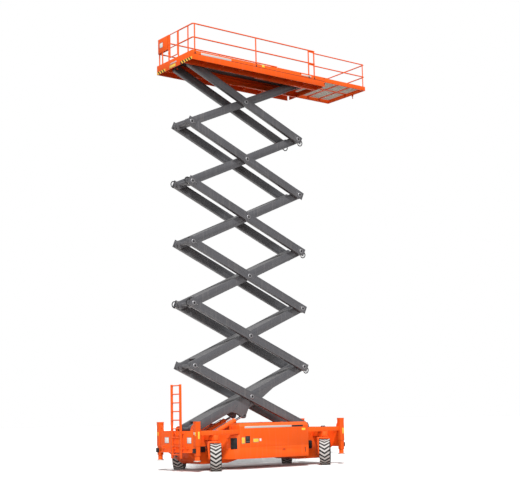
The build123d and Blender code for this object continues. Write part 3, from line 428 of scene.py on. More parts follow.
def addTube(bm, points, radius, bend=0.0, sides=12, layer=0, caps=True):
    points = [Vector(p) for p in points]
    ahead = (points[1] - points[0]).normalized()
    ring = bmesh.ops.create_circle(bm, cap_ends=False, segments=sides, radius=radius,
                                   matrix=aim(points[0], ahead))["verts"]
    edges = list({edge for vert in ring for edge in vert.link_edges})
    first, here, used = edges, points[0], set(ring)

    def grow():
        nonlocal edges
        new = bmesh.ops.extrude_edge_only(bm, edges=edges)["geom"]
        verts = [g for g in new if isinstance(g, bmesh.types.BMVert)]
        mine = set(verts)
        edges = [g for g in new if isinstance(g, bmesh.types.BMEdge) and mine.issuperset(g.verts)]
        used.update(verts)
        return verts

    for i in range(1, len(points)):
        last = i == len(points) - 1
        after = ahead if last else (points[i + 1] - points[i]).normalized()
        angle = 0 if last else ahead.angle(after)
        target = points[i] - ahead * (bend * math.tan(angle / 2))
        bmesh.ops.translate(bm, verts=grow(), vec=target - here)
        here = target
        if angle:
            axis = ahead.cross(after).normalized()
            centre = here + axis.cross(ahead) * bend
            steps = max(2, round(math.degrees(angle) / 15))
            for _ in range(steps):
                step = Matrix.Rotation(angle / steps, 3, axis)
                bmesh.ops.rotate(bm, verts=grow(), cent=centre, matrix=step)
            here = points[i] + after * (bend * math.tan(angle / 2))
        ahead = after
    if caps:
        bmesh.ops.edgeloop_fill(bm, edges=first)
        bmesh.ops.edgeloop_fill(bm, edges=edges)
    bmesh.ops.recalc_face_normals(bm, faces=list(facesOf(used)))
    layFaces(used, layer)


def addHex(bm, centre, axis, across, height, layer=0):
    addPin(bm, centre, axis, across / math.sqrt(3), height, sides=6, layer=layer)


def facing(centre, outward, up=(0, 0, 1)):
    # X across, Y outward and Z up a face
    outward = Vector(outward).normalized()
    across = outward.cross(Vector(up)).normalized()
    turn = Matrix((across, outward, across.cross(outward))).transposed().to_4x4()
    return Matrix.Translation(centre) @ turn


def nodeCopy(*nodes):
    # the CAD's own faces, joined up again so that they can be worked on
    bm = bmesh.new()
    for node in nodes:
        bm.from_mesh(frame["nodes"][node].data)
    bmesh.ops.remove_doubles(bm, verts=bm.verts, dist=0.00002)
    bmesh.ops.dissolve_limit(bm, angle_limit=math.radians(1), use_dissolve_boundaries=False,
                             verts=bm.verts, edges=bm.edges, delimit=set())
    return bm


def camelName(node):
    first, *rest = node.split("_")
    return first + "".join(word.capitalize() for word in rest)


# ---------------------------------------- welded and folded steel

softEdges = {      # node's first words, radius of its edges in metres
    "inner_arms": 0.008, "outer_arms": 0.008, "chassis_frame": 0.006, "axle_arms": 0.008,
    "side_beams": 0.006, "bulkheads": 0.005, "jack_housings": 0.006, "jack_leg": 0.005,
    "jack_lamps": 0.012, "module_near": 0.005, "module_far": 0.005, "module_cover": 0.010,
    "knuckle": 0.006, "platform_side_beams": 0.003, "platform_cross": 0.003,
    "platform_channels": 0.003, "extension_deck": 0.004, "control_panel": 0.006,
    "engine_block": 0.02, "oil_tank": 0.02,
}


def softenNodes():
    for node in frame["nodes"]:
        width = next((w for start, w in softEdges.items() if node.startswith(start)), None)
        if width is None:
            continue
        bm = nodeCopy(node)
        roundEdges(bm, bm.verts, width)
        makePiece(camelName(node) + "Shell", bm, finishOf(node), bodyOf[node], replaces=[node])


softenNodes()
print("steelwork edges rounded")


# ---------------------------------------- tyres and rims

tyre = {
    "bead": 0.262, "widest": 0.385, "tread": 0.452, "top": 0.480, "halfWidth": 0.198,
    "treadHalf": 0.172, "steps": 72,
    "lugs": 20, "lugWidth": 0.072, "lugSweep": 0.118, "lugEnd": 0.188, "lugEdge": 0.006,
}
rimShape = {"radius": 0.260, "lip": 0.272, "halfWidth": 0.150, "disc": 0.006, "discBack": 0.030,
            "hubHole": 0.0605, "wheelNuts": 10, "nutCircle": 0.115}


def wheelPlace(corner):
    joint = joints["wheel_" + corner]
    side = -1 if corner.startswith("near") else 1
    axle = Vector(joint["axis"]) * -side            # towards the fork's leg
    roll = axle.cross(Vector((0, 0, 1)))
    turn = Matrix((roll, axle, Vector((0, 0, 1)))).transposed().to_4x4()
    return Matrix.Translation(joint["pos_m"]) @ turn


def wrapRound(bm, verts, turnBy):
    # carries flat rubber onto the wheel: x runs round it, z is the distance from the axle
    for vert in verts:
        u, y, r = vert.co
        a = turnBy + u / tyre["tread"]
        vert.co = (-r * math.cos(a), y, -r * math.sin(a))


def makeTyre(corner):
    bm = bmesh.new()
    t = tyre
    half, bead = t["halfWidth"], t["bead"]
    side = [(bead, 0.140), (bead + 0.006, 0.152), (0.292, 0.158), (0.300, 0.172), (0.318, 0.180),
            (0.350, 0.192), (t["widest"], half), (0.405, 0.197), (0.412, 0.192), (0.432, 0.186),
            (t["tread"], t["treadHalf"])]
    profile = side + [(r, -y) for r, y in reversed(side)]
    addTurned(bm, Matrix.Rotation(math.radians(90), 4, "X"), profile, steps=t["steps"])
    for i in range(t["lugs"]):
        verts = bmesh.ops.create_cube(bm, size=1.0)["verts"]
        bmesh.ops.scale(bm, vec=(t["lugWidth"], 2 * t["lugEnd"], t["top"] - t["widest"]), verts=verts)
        bmesh.ops.translate(bm, vec=(0, 0, (t["top"] + t["widest"]) / 2), verts=verts)
        lug = list(facesOf(verts))
        lug += list({edge for face in lug for edge in face.edges}) + list(verts)
        cut = bmesh.ops.bisect_plane(bm, geom=lug, dist=0.0001, plane_co=(0, 0, 0), plane_no=(0, 1, 0))
        middle = [g for g in cut["geom_cut"] if isinstance(g, bmesh.types.BMVert)]
        bmesh.ops.translate(bm, vec=(t["lugSweep"], 0, 0), verts=middle)
        all_ = verts + middle
        for vert in all_:
            if abs(vert.co.y) > 0.1 and vert.co.z < t["tread"]:
                vert.co.z = t["widest"] + 0.02      # the lug's foot on the shoulder
        # lug tops take the pale painted highlight, the rest stays dark rubber
        for face in facesOf(all_):
            face.material_index = 1 if face.normal.z > 0.5 else 0
        new = roundEdges(bm, all_, t["lugEdge"], segments=1)
        lugVerts = {vert for face in new["faces"] for vert in face.verts} | {v for v in all_ if v.is_valid}
        wrapRound(bm, lugVerts, i * math.tau / t["lugs"])
    for face in bm.faces:
        face.normal_update()
    bmesh.ops.recalc_face_normals(bm, faces=bm.faces)
    place = wheelPlace(corner)
    if corner.startswith("far"):
        place = place @ Matrix.Scale(-1, 4, (1, 0, 0))
    bmesh.ops.transform(bm, matrix=place, verts=bm.verts)
    if corner.startswith("far"):
        bmesh.ops.reverse_faces(bm, faces=bm.faces)
    makePiece(camelName("tyre_" + corner) + "Tread", bm, ["treadRubber", "wornTread"],
              "wheel_" + corner, replaces=["tyre_" + corner])


def makeRim(corner):
    bm = bmesh.new()
    s = rimShape
    r, h = s["radius"], s["halfWidth"]
    ring = [(r, -h + 0.012), (s["lip"], -h + 0.008), (s["lip"], -h), (r - 0.016, -h), (r - 0.020, -h + 0.03),
            (r - 0.035, -0.05), (r - 0.035, s["disc"] - 0.012), (r - 0.075, s["disc"]),
            (s["hubHole"], s["disc"]),
            (s["hubHole"], s["discBack"]), (r - 0.06, s["discBack"]), (r - 0.030, s["discBack"] + 0.02),
            (r - 0.020, h - 0.03), (r - 0.016, h), (s["lip"], h), (s["lip"], h - 0.008), (r, h - 0.012)]
    # the turned profile's Z looks along the axle, away from the fork's leg
    addTurned(bm, Matrix.Rotation(math.radians(-90), 4, "X"), [(a, b) for a, b in ring], steps=64)
    for i in range(s["wheelNuts"]):
        a = i * math.tau / s["wheelNuts"]
        spot = (s["nutCircle"] * math.cos(a), s["disc"] - 0.009, s["nutCircle"] * math.sin(a))
        addHex(bm, spot, (0, 1, 0), 0.030, 0.020, layer=1)
        addPin(bm, (spot[0], spot[1] - 0.014, spot[2]), (0, 1, 0), 0.010, 0.012, sides=12, layer=1)
    bmesh.ops.transform(bm, matrix=wheelPlace(corner), verts=bm.verts)
    makePiece(camelName("rim_" + corner) + "Dish", bm, ["orangePaint", "zincBolt"],
              "wheel_" + corner, replaces=["rim_" + corner])


cornerNames = ["near_left", "near_right", "far_left", "far_right"]
for corner in cornerNames:
    makeTyre(corner)
    makeRim(corner)
print("tyres and rims made")


chassisLow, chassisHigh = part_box("chassis_frame")
chassisMid = (chassisLow[0] + chassisHigh[0]) / 2


def at(x, y, z):
    # a place given from the middle of the chassis
    return Vector((x + chassisMid, y, z))


# ---------------------------------------- pivots of the scissor arms

pivot = {
    "armFace": 0.530, "collar": 0.086, "bore": 0.040, "proud": 0.016, "pinEnd": 0.0015,
    "keeper": (0.075, 0.026), "keeperOut": 0.125, "bolt": 0.018,
    "ear": (-0.165, 0.200, 0.150), "earThick": 0.008,
    "leverPin": (-0.670, 1.890), "leverFace": 0.370, "leverCollar": 0.070,
}


def addCollar(bm, centre, side, radius, bore, proud):
    # ring of a pin's housing, with the end of the pin sunk in it and painted black as the shade inside the
    # bore
    ring = [(bore, 0), (bore, proud), (bore + 0.008, proud + 0.002), (radius - 0.012, proud + 0.002),
            (radius, proud * 0.5), (radius, 0)]
    addTurned(bm, aim(centre, (0, side, 0)), ring, steps=28)
    # painted shade: the sunk pin end takes the black finish to stand in for the shadow in the bore
    sunk = Vector(centre) + Vector((0, side * pivot["pinEnd"], 0))
    addPin(bm, sunk, (0, side, 0), bore, 0.003, sides=20, layer=1)


def makePivots():
    p = pivot
    for n in range(1, 7):
        middle = Vector(joints[f"middle_pivot_{n}"]["pos_m"])
        left = Vector(joints["platform_pivot" if n == 6 else f"end_pivot_{n}"]["pos_m"])
        down = (middle - left).normalized()
        places = [middle] + ([left] if n < 6 else []) + ([2 * middle - left] if n > 1 else [])
        bm = bmesh.new()
        for side in (-1, 1):
            for spot in places:
                centre = Vector((spot.x, side * p["armFace"], spot.z))
                if spot is middle:
                    addCollar(bm, centre, side, p["collar"], p["bore"], p["proud"])
                    continue
                # square-ended doubler plate, the collar and a keeper plate with two bolts on it
                inward = -down if spot is not places[1] or n == 6 else down
                back, ahead, half = p["ear"]
                place = facing(centre, (0, side, 0), up=inward)
                addBox(bm, (-half, -0.001, back), (half, p["earThick"], ahead), 0.012, 3, place)
                centre = centre + Vector((0, side * p["earThick"], 0))
                addCollar(bm, centre, side, p["collar"], p["bore"], p["proud"])
                keeper = centre + inward * p["keeperOut"]
                place = facing(keeper, (0, side, 0), up=down)
                tall, wide = p["keeper"]
                addBox(bm, (-wide / 2, -0.001, -tall / 2), (wide / 2, 0.008, tall / 2), 0.002, 0, place)
                for end in (-1, 1):
                    addHex(bm, keeper + down * end * tall * 0.3 + Vector((0, side * 0.012, 0)), (0, side, 0),
                           p["bolt"], 0.009, layer=2)
        # blackPlastic here is the painted shade on the sunk pin ends
        makePiece(f"outerArms{n}Collars", bm, ["pinSteel", "blackPlastic", "zincBolt", "greyPaint"],
                  f"outer_arms_{n}")


cover = {"half": 0.2497, "along": 2.40, "up": 0.134, "thick": 0.010}


def makeCovers():
    # thin sheet that closes the top of each pair of inner arms
    c = cover
    for n in range(1, 7):
        middle = Vector(joints[f"middle_pivot_{n}"]["pos_m"])
        left = Vector(joints["platform_pivot" if n == 6 else f"end_pivot_{n}"]["pos_m"])
        square = Vector((middle.z - left.z, 0, middle.x - left.x)).normalized()     # up out of the rising arm
        place = facing((middle.x, 0, middle.z), (0, -1, 0), up=square)
        bm = bmesh.new()
        up = c["up"]
        addBox(bm, (-c["along"], -c["half"], up), (c["along"], c["half"], up + c["thick"]), 0.003, 0, place)
        makePiece(f"innerArms{n}Cover", bm, ["greyPaint"], f"inner_arms_{n}")


def makeLever():
    # housings at the lever's eyes, stiffening straps on its cheeks
    p = pivot
    x, z = p["leverPin"]
    bm = bmesh.new()
    for side in (-1, 1):
        addCollar(bm, at(x, side * p["leverFace"], z), side, p["leverCollar"], 0.034, 0.012)
        for x0, z0, x1, z1 in ((-1.17, 2.02, -0.95, 2.30), (-0.55, 2.05, -0.30, 2.40)):
            a, b = at(x0, side * p["leverFace"], z0), at(x1, side * p["leverFace"], z1)
            place = facing((a + b) / 2, (0, side, 0), up=b - a)
            half = (b - a).length / 2
            addBox(bm, (-0.014, -0.001, -half), (0.014, 0.010, half), 0.003, 0, place)
    # blackPlastic here is the painted shade on the sunk pin ends
    makePiece("leverHousings", bm, ["greyPaint", "blackPlastic"], "inner_arms_1")


makePivots()
makeCovers()
makeLever()
print("scissor pivots made")


# ---------------------------------------- lift cylinders

cylinder = {
    "base": (-2.600, 1.000), "pin": (-0.670, 1.890), "y": 0.310, "barrelEnd": 1.700,
    "gland": 0.098, "glandLong": 0.11, "pipe": 0.012,
}


def makeCylinders():
    c = cylinder
    bm = bmesh.new()
    for side in (-1, 1):
        base = at(c["base"][0], side * c["y"], c["base"][1])
        along = (at(c["pin"][0], side * c["y"], c["pin"][1]) - base).normalized()
        square = along.cross(Vector((0, 1, 0))).normalized()      # points up and back
        if square.z < 0:
            square = -square
        end = base + along * c["barrelEnd"]
        r, glandLong = c["gland"], c["glandLong"]
        ring = [(0.0445, -0.004), (0.060, 0.0), (0.072, 0.004), (r, -0.012), (r, -glandLong),
                (0.0905, -glandLong - 0.006), (0.0905, -0.02), (0.0445, -0.02)]
        addTurned(bm, aim(end, along), ring, steps=32)
        # feed pipe along the barrel, with its two ports
        low, high = base + along * 0.16 + square * 0.115, end - along * 0.14 + square * 0.115
        route = [low - square * 0.03, low, high, high - square * 0.03]
        addTube(bm, route, c["pipe"], bend=0.02, sides=10, layer=1)
        for spot in (low, high):
            addHex(bm, spot - square * 0.022, square, 0.044, 0.022, layer=1)
    makePiece("barrelFittings", bm, ["orangePaint", "pinSteel"], "lift_barrels")


makeCylinders()
print("lift cylinder fittings made")


# ---------------------------------------- guard rails

rail = {"tube": 0.025, "post": 0.025, "bend": 0.060, "levels": (15.530, 16.046), "sides": 16,
        "y": 1.181, "leftX": -3.262, "rightX": 2.520, "posts": (-3.190, -0.390, 2.210, 2.490),
        "gateY": (-0.220, 0.420), "endPostY": 0.860, "feet": (15.010, 15.040), "gap": 0.025,
        "gatePost": 0.018, "gateTube": 0.018, "gateAt": (-0.160, 0.340), "gateLow": 15.160,
        "slideTube": 0.023, "slidePost": 0.021, "slideLevels": (15.480, 15.992), "slideY": 1.127,
        "slideX": (2.510, 5.215), "slidePosts": (2.546, 5.140), "slideFoot": 15.070}


def addPost(bm, x, y, z0, z1, radius, layer=0):
    addPin(bm, at(x, y, (z0 + z1) / 2), (0, 0, 1), radius, z1 - z0, sides=rail["sides"], layer=layer)


def addFoot(bm, x, y, z, radius):
    # welded base plate with two bolts
    addBox(bm, (-0.045, -0.030, 0), (0.045, 0.030, 0.006), 0.002, 0, Matrix.Translation(at(x, y, z)))
    for end in (-1, 1):
        addHex(bm, at(x + end * (radius + 0.012), y, z + 0.009), (0, 0, 1), 0.016, 0.008, layer=1)


def makeRails():
    r = rail
    bm = bmesh.new()
    for side, gateY in ((-1, r["gateY"][0]), (1, r["gateY"][1])):
        stop = gateY - side * r["gap"]
        for z in r["levels"]:
            addTube(bm, [at(r["rightX"], side * r["y"], z), at(r["leftX"], side * r["y"], z),
                         at(r["leftX"], stop, z)], r["tube"], bend=r["bend"], sides=r["sides"])
        for x in r["posts"]:
            addPost(bm, x, side * r["y"], r["feet"][1], r["levels"][1], r["post"])
            addFoot(bm, x, side * (r["y"] - 0.01), r["feet"][1], r["post"])
            # painted shade: a black box stands in for the shadow in the mouth of the post's socket in the
            # beam
            inner, outer = sorted((side * 1.196, side * 1.2055))
            addBox(bm, at(x - 0.022, inner, 14.905), at(x + 0.022, outer, 14.985), 0.002, 2)
        for y in (gateY, side * r["endPostY"]):
            addPost(bm, r["leftX"], y, r["feet"][0], r["levels"][1], r["post"])
        # gusset between the paired posts where the slide-out deck's rails begin
        x0, x1 = r["posts"][2], r["posts"][3]
        for z in r["levels"]:
            y = side * r["y"]
            addBox(bm, at(x0, y - 0.004, z - 0.075), at(x1, y + 0.004, z - 0.010), 0.001)
        # painted shadow: a thin dark strip stands in for the shadow line under the beam's folded lip
        y = sorted((side * 1.1995, side * 1.2015))
        addBox(bm, at(-3.290, y[0], 14.902), at(3.010, y[1], 14.916), 0, 3)
    makePiece("platformRailTubes", bm, ["orangePaint", "zincBolt", "blackPlastic", "blackDeck"], "platform",
              replaces=["platform_rails"])


def makeGate():
    r = rail
    bm = bmesh.new()
    y0, y1 = r["gateAt"]
    hinge = r["gateY"][1]
    for z in (r["gateLow"], *r["levels"]):
        addTube(bm, [at(r["leftX"], y0, z), at(r["leftX"], y1, z)], r["gateTube"], sides=r["sides"])
    for y in (y0, y1):
        addPost(bm, r["leftX"], y, r["gateLow"], r["levels"][1], r["gatePost"])
    for z in (r["levels"][0] - 0.18, r["levels"][0] + 0.18):
        ring = [(0.0206, -0.03), (0.034, -0.03), (0.034, 0.03), (0.0206, 0.03)]
        addTurned(bm, aim(at(r["leftX"], hinge, z), (0, 0, 1)), ring, steps=24)
        low, high = at(r["leftX"] - 0.010, y1, z - 0.028), at(r["leftX"] + 0.010, hinge - 0.026, z + 0.028)
        addBox(bm, low, high, 0.002)
    # spring latch on the free side
    addBox(bm, at(r["leftX"] - 0.014, y0 - 0.034, r["levels"][0] + 0.06),
           at(r["leftX"] + 0.014, y0 - 0.012, r["levels"][0] + 0.16), 0.003, 1)
    makePiece("gateTubes", bm, ["orangePaint", "zincBolt"], "gate", replaces=["gate"])


def makeSlideRails():
    r = rail
    bm = bmesh.new()
    x0, x1 = r["slideX"]
    y = r["slideY"]
    for z in r["slideLevels"]:
        addTube(bm, [at(x0, -y, z), at(x1, -y, z), at(x1, y, z), at(x0, y, z)], r["slideTube"],
                bend=r["bend"], sides=r["sides"])
    for side in (-1, 1):
        for x in r["slidePosts"]:
            addPost(bm, x, side * y, r["slideFoot"], r["slideLevels"][1], r["slidePost"])
    makePiece("extensionRailTubes", bm, ["orangePaint"], "extension", replaces=["extension_rails"])


makeRails()
makeGate()
makeSlideRails()
print("guard rails and gate made")


# ---------------------------------------- slide-out deck's grating

grating = {"pitch": 0.034, "bar": 0.005, "rod": 0.004, "rodPitch": 0.26, "top": 15.060, "deep": 0.025,
           "beam": 1.1097, "crossBar": 0.090, "bars": (2.495, 3.114, 4.070, 4.690), "end": 5.1997}


def makeGrating():
    g = grating
    bm = bmesh.new()
    half = g["crossBar"] / 2
    starts = [x + half for x in g["bars"]]
    ends = [x - half for x in g["bars"][1:]] + [g["end"]]
    for x0, x1 in zip(starts, ends):
        for side in (-1, 1):
            ya, yb = sorted((side * half, side * g["beam"]))
            count = int((x1 - x0) / g["pitch"])
            for i in range(count):
                x = x0 + (i + 0.5) * (x1 - x0) / count
                addBox(bm, at(x - g["bar"] / 2, ya, g["top"] - g["deep"]), at(x + g["bar"] / 2, yb, g["top"]))
            y = ya + g["rodPitch"] / 2
            while y < yb:
                rod = g["rod"]
                addBox(bm, at(x0, y - rod, g["top"] - 2 * rod), at(x1, y + rod, g["top"] - 0.001))
                y += g["rodPitch"]
    makePiece("gratingBars", bm, ["galvanised"], "extension", replaces=["extension_grating"])


makeGrating()
print("grating made")


# ---------------------------------------- ladder

ladder = {"y": (-0.490, 0.140), "z": (0.460, 3.020), "x": -3.490, "thick": 0.030, "stile": 0.085,
          "deep": 0.055, "web": 0.008, "first": 0.120, "pitch": 0.300, "rung": 0.020,
          "brackets": (0.775, 1.300), "bracket": 0.050,
          "wall": -3.380}


def makeLadder():
    d = ladder
    bm = bmesh.new()
    out = d["x"] - d["thick"]
    y0, y1 = d["y"]
    for y in (y0, y1 - d["stile"]):
        # channel with its web outward and its two flanges towards the wall
        addBox(bm, at(out, y, d["z"][0]), at(out + d["web"], y + d["stile"], d["z"][1]), 0.003)
        for edge in (y, y + d["stile"] - d["web"]):
            addBox(bm, at(out + 0.002, edge, d["z"][0] + 0.001),
                   at(out + d["deep"], edge + d["web"], d["z"][1] - 0.001), 0.002)
        for z in d["brackets"]:
            far = at(d["wall"], y + d["stile"] - 0.012, z + d["bracket"])
            addBox(bm, at(d["x"] - 0.002, y + 0.012, z), far, 0.004)
            for end in (-1, 1):
                addHex(bm, at(d["wall"] - 0.006, y + d["stile"] / 2 + end * 0.034, z + d["bracket"] / 2),
                       (-1, 0, 0), 0.020, 0.012, layer=1)
    z = d["z"][0] + d["first"]
    while z < d["z"][1]:
        middle = at(out + d["thick"] / 2, 0, z)
        a, b = middle + Vector((0, y0 + d["stile"] / 2, 0)), middle + Vector((0, y1 - d["stile"] / 2, 0))
        addTube(bm, [a, b], d["rung"], sides=14)
        z += d["pitch"]
    # black foot guard between the stiles
    addBox(bm, at(out + 0.004, -0.235, 0.500), at(d["x"] - 0.004, -0.115, 0.565), 0.008, 2)
    makePiece("ladderTubes", bm, ["orangePaint", "zincBolt", "blackPlastic"], "chassis", replaces=["ladder"])


makeLadder()
print("ladder made")


# ---------------------------------------- plates, labels and tapes (all blank)

# across, tall, finish; each plate is (place from the chassis' middle, outward, size and finish)
plates = {
    "chassis": [
        ((-3.380, 0.617, 1.082), (-1, 0, 0), 0.27, 0.21, "whiteLabel"),
        ((-3.380, -0.810, 1.079), (-1, 0, 0), 0.27, 0.21, "whiteLabel"),
        ((3.380, 0.617, 1.082), (1, 0, 0), 0.27, 0.21, "whiteLabel"),
        ((-3.285, -1.2625, 1.250), (0, -1, 0), 0.075, 0.25, "yellowLabel"),
        ((3.335, -1.2625, 1.240), (0, -1, 0), 0.070, 0.21, "yellowLabel"),
        ((-3.285, 1.2625, 1.250), (0, 1, 0), 0.075, 0.25, "yellowLabel"),
        ((3.335, 1.2625, 1.240), (0, 1, 0), 0.070, 0.21, "yellowLabel"),
        ((-3.3925, -1.215, 1.300), (-1, 0, 0), 0.055, 0.13, "yellowLabel"),
        ((-3.3925, 1.180, 1.300), (-1, 0, 0), 0.060, 0.13, "yellowLabel"),
        ((-3.3925, -1.130, 1.315), (-1, 0, 0), 0.045, 0.09, "whiteLabel"),
    ],
    "module_cover_near": [
        ((-1.352, -1.215, 1.017), (0, -1, 0), 0.15, 0.23, "yellowLabel"),
        ((-0.790, -1.215, 1.005), (0, -1, 0), 0.25, 0.14, "yellowLabel"),
        ((-0.585, -1.215, 1.018), (0, -1, 0), 0.08, 0.09, "whiteLabel"),
        ((1.430, -1.215, 1.350), (0, -1, 0), 0.17, 0.08, "yellowLabel"),
        ((-0.210, -1.215, 1.478), (0, -1, 0), 2.14, 0.070, "paleLabel"),
        ((1.140, -1.215, 1.478), (0, -1, 0), 0.52, 0.062, "blackPlastic"),
    ],
    "platform": [
        ((-2.245, -1.198, 14.945), (0, -1, 0.10), 1.36, 0.088, "paleLabel"),
        ((2.070, -1.198, 14.985), (0, -1, 0.10), 0.50, 0.060, "paleLabel"),
        ((-0.060, -1.198, 14.985), (0, -1, 0.10), 0.12, 0.100, "yellowLabel"),
        ((-3.304, 0.120, 14.775), (-1, 0, 0), 0.42, 0.125, "yellowLabel"),
        ((-3.304, 0.065, 14.885), (-1, 0, 0), 0.42, 0.045, "paleLabel"),
        ((-3.291, 0.907, 15.790), (-1, 0, 0), 0.22, 0.20, "whiteLabel"),
    ],
    "module_cover_far": [
        ((-0.210, 1.215, 1.478), (0, 1, 0), 2.14, 0.070, "paleLabel"),
    ],
}
plateDeep = 0.003


def addPlate(bm, place, wide, tall, layer, rim):
    addBox(bm, (-wide / 2, -0.002, -tall / 2), (wide / 2, plateDeep, tall / 2), 0.0012, layer, place)
    if min(wide, tall) > 0.12:          # raised frame of a riveted plate
        b = 0.010
        w, h = wide / 2, tall / 2
        strips = ((-w, -h, w, -h + b), (-w, h - b, w, h), (-w, -h, -w + b, h), (w - b, -h, w, h))
        for x0, z0, x1, z1 in strips:
            addBox(bm, (x0, 0, z0), (x1, plateDeep + 0.002, z1), 0.0, rim, place)


def makePlates():
    for body, rows in plates.items():
        used = sorted({row[-1] for row in rows}) + ["pinSteel"]
        bm = bmesh.new()
        for spot, outward, wide, tall, finish in rows:
            addPlate(bm, facing(at(*spot), outward), wide, tall, used.index(finish), len(used) - 1)
        makePiece(camelName(body) + "Plates", bm, used, body)


tapes = {"z": (14.692, 14.802), "x": -3.304, "runs": ((0.62, 1.17), (-1.17, -0.40)), "pitch": 0.080,
         "deep": 0.003}


def makeTapes():
    # slanting yellow and black blocks along the lower edge of the left end
    t = tapes
    low, high = t["z"]
    bm = bmesh.new()
    for y0, y1 in t["runs"]:
        count = round((y1 - y0) / t["pitch"])
        grid = bmesh.ops.create_grid(bm, x_segments=count, y_segments=1, size=0.5)["verts"]
        for vert in grid:
            along, up = vert.co.x + 0.5, vert.co.y + 0.5
            slant = (high - low) * 0.8 * (up - 0.5) if 0.001 < along < 0.999 else 0
            vert.co = at(t["x"] - t["deep"], y0 + along * (y1 - y0) + slant, low + up * (high - low))
        for face in facesOf(grid):
            middle = (face.calc_center_median().y - y0) / (y1 - y0)
            face.material_index = int(middle * count) % 2
            if face.normal.x > 0:
                face.normal_flip()
    bmesh.ops.recalc_face_normals(bm, faces=bm.faces)
    for face in bm.faces:
        if face.normal.x > 0:
            face.normal_flip()
    extruded = bmesh.ops.extrude_face_region(bm, geom=bm.faces[:])["geom"]
    back = [g for g in extruded if isinstance(g, bmesh.types.BMVert)]
    bmesh.ops.translate(bm, vec=(t["deep"], 0, 0), verts=back)
    bmesh.ops.recalc_face_normals(bm, faces=bm.faces)
    makePiece("hazardTapes", bm, ["yellowLabel", "blackPlastic"], "platform")


makePlates()
makeTapes()
print("blank plates and tapes made")


# ---------------------------------------- fittings on the chassis and covers

fitting = {
    "slantFoot": (-1.500, 1.215), "slantOut": 0.450, "ventZ": (0.730, 1.110), "ventIn": (0.10, 0.34),
    "louvres": 9, "screen": (-1.150, 1.040, 0.200, 0.250), "doorLine": 1.141, "latch": (1.490, 0.610),
    "handle": (0.490, 0.650), "bellowsX": (1.990, 2.290), "bellowsZ": (0.610, 0.910), "folds": 7,
    "footZ": (0.360, 0.390), "foot": 0.126, "leg": 0.0625,     "jackX": 3.300, "jackY": 1.170,
}


def makeCoverFittings(side, body):
    f = fitting
    bm = bmesh.new()
    face = side * f["slantFoot"][1]
    # louvred vent on the slanted end
    start = at(f["slantFoot"][0], face, 0)
    along = (at(f["slantFoot"][0] - f["slantOut"], side * 0.68, 0) - start).normalized()
    outward = Vector((-abs(along.y), side * abs(along.x), 0))
    z0, z1 = f["ventZ"]
    middle = start + along * sum(f["ventIn"]) / 2 + Vector((0, 0, (z0 + z1) / 2))
    half = (f["ventIn"][1] - f["ventIn"][0]) / 2
    place = facing(middle, outward)
    tall = (z1 - z0) / 2
    addBox(bm, (-half, -0.030, -tall), (half, 0.004, tall), 0.002, 0, place)
    for i in range(f["louvres"]):
        z = -tall + (i + 0.5) * 2 * tall / f["louvres"]
        tilt = Matrix.Translation((0, 0.006, z)) @ Matrix.Rotation(math.radians(-35), 4, "X")
        addBox(bm, (-half * 0.9, -0.002, -0.016), (half * 0.9, 0.002, 0.016), 0, 1, place @ tilt)
    # display, handle cup, latch and the line between the two doors
    x, z, wide, high = f["screen"]
    place = facing(at(x, face, z), (0, side, 0))
    addBox(bm, (-wide / 2, -0.012, -high / 2), (wide / 2, 0.001, high / 2), 0.004, 0, place)
    addBox(bm, (-wide * 0.36, 0, high * 0.02), (wide * 0.36, 0.003, high * 0.40), 0.002, 3, place)
    for i in range(3):
        addPin(bm, place @ Vector(((i - 1) * wide * 0.27, 0.003, -high * 0.25)), (0, side, 0), 0.014, 0.010,
               sides=14, layer=2)
    x = f["doorLine"]
    addBox(bm, at(x - 0.003, face - 0.001, 0.40), at(x + 0.003, face + 0.001, 1.42), 0, 4)
    x, z = f["handle"]
    place = facing(at(x, face, z), (0, side, 0))
    ring = [(0.030, 0), (0.030, 0.004), (0.062, 0.005), (0.066, 0)]
    squash = Matrix.Diagonal((1.25, 1, 0.75, 1))
    addTurned(bm, place @ squash @ Matrix.Rotation(math.radians(-90), 4, "X"), ring, steps=24, layer=4)
    addBox(bm, (-0.050, -0.002, -0.006), (0.050, 0.006, 0.006), 0.002, 0, place)
    x, z = f["latch"]
    place = facing(at(x, face, z), (0, side, 0))
    addBox(bm, (-0.013, -0.004, -0.085), (0.013, 0.003, 0.085), 0.002, 0, place)
    used = ["blackPlastic", "hoseRubber", "pinSteel", "castIron", "redPaint"]
    makePiece(camelName(body) + "Fittings", bm, used, body)


def makeChassisFittings():
    f = fitting
    bm = bmesh.new()
    for side in (-1, 1):
        # black folded boot on the steering gear, behind the front wheels
        x0, x1 = f["bellowsX"]
        z0, z1 = f["bellowsZ"]
        step = (x1 - x0) / f["folds"]
        for i in range(f["folds"]):
            inset = 0.0 if i % 2 else 0.020
            y = sorted((side * (0.56 + inset), side * (0.68 - inset)))
            addBox(bm, at(x0 + i * step, y[0], z0 + inset), at(x0 + (i + 1) * step, y[1], z1 - inset), 0.004)
        # hose bundle and valve block behind each left wheel
        addBox(bm, at(-2.82, side * 0.66 - 0.05, 0.66), at(-2.64, side * 0.66 + 0.05, 0.85), 0.01)
        for i in range(3):
            lift = 0.05 * i
            addTube(bm, [at(-2.66, side * 0.66, 0.82 - lift), at(-2.30, side * 0.68, 0.90 - lift),
                         at(-2.05, side * 0.60, 0.84 - lift)], 0.014, bend=0.06, sides=8, layer=1)
        for x, z in ((-2.447, 1.390), (2.498, 1.424)):
            for i in range(2):
                spot = at(x + i * 0.10, side * 1.02, z)
                addPin(bm, spot, (0, side, 0), 0.030, 0.10, sides=18, edge=0.004, layer=2)
    # black step light beside the ladder
    addBox(bm, at(-3.405, -0.345, 0.755), at(-3.379, -0.290, 0.870), 0.006)
    makePiece("chassisFittings", bm, ["blackPlastic", "hoseRubber", "pinSteel"], "chassis")


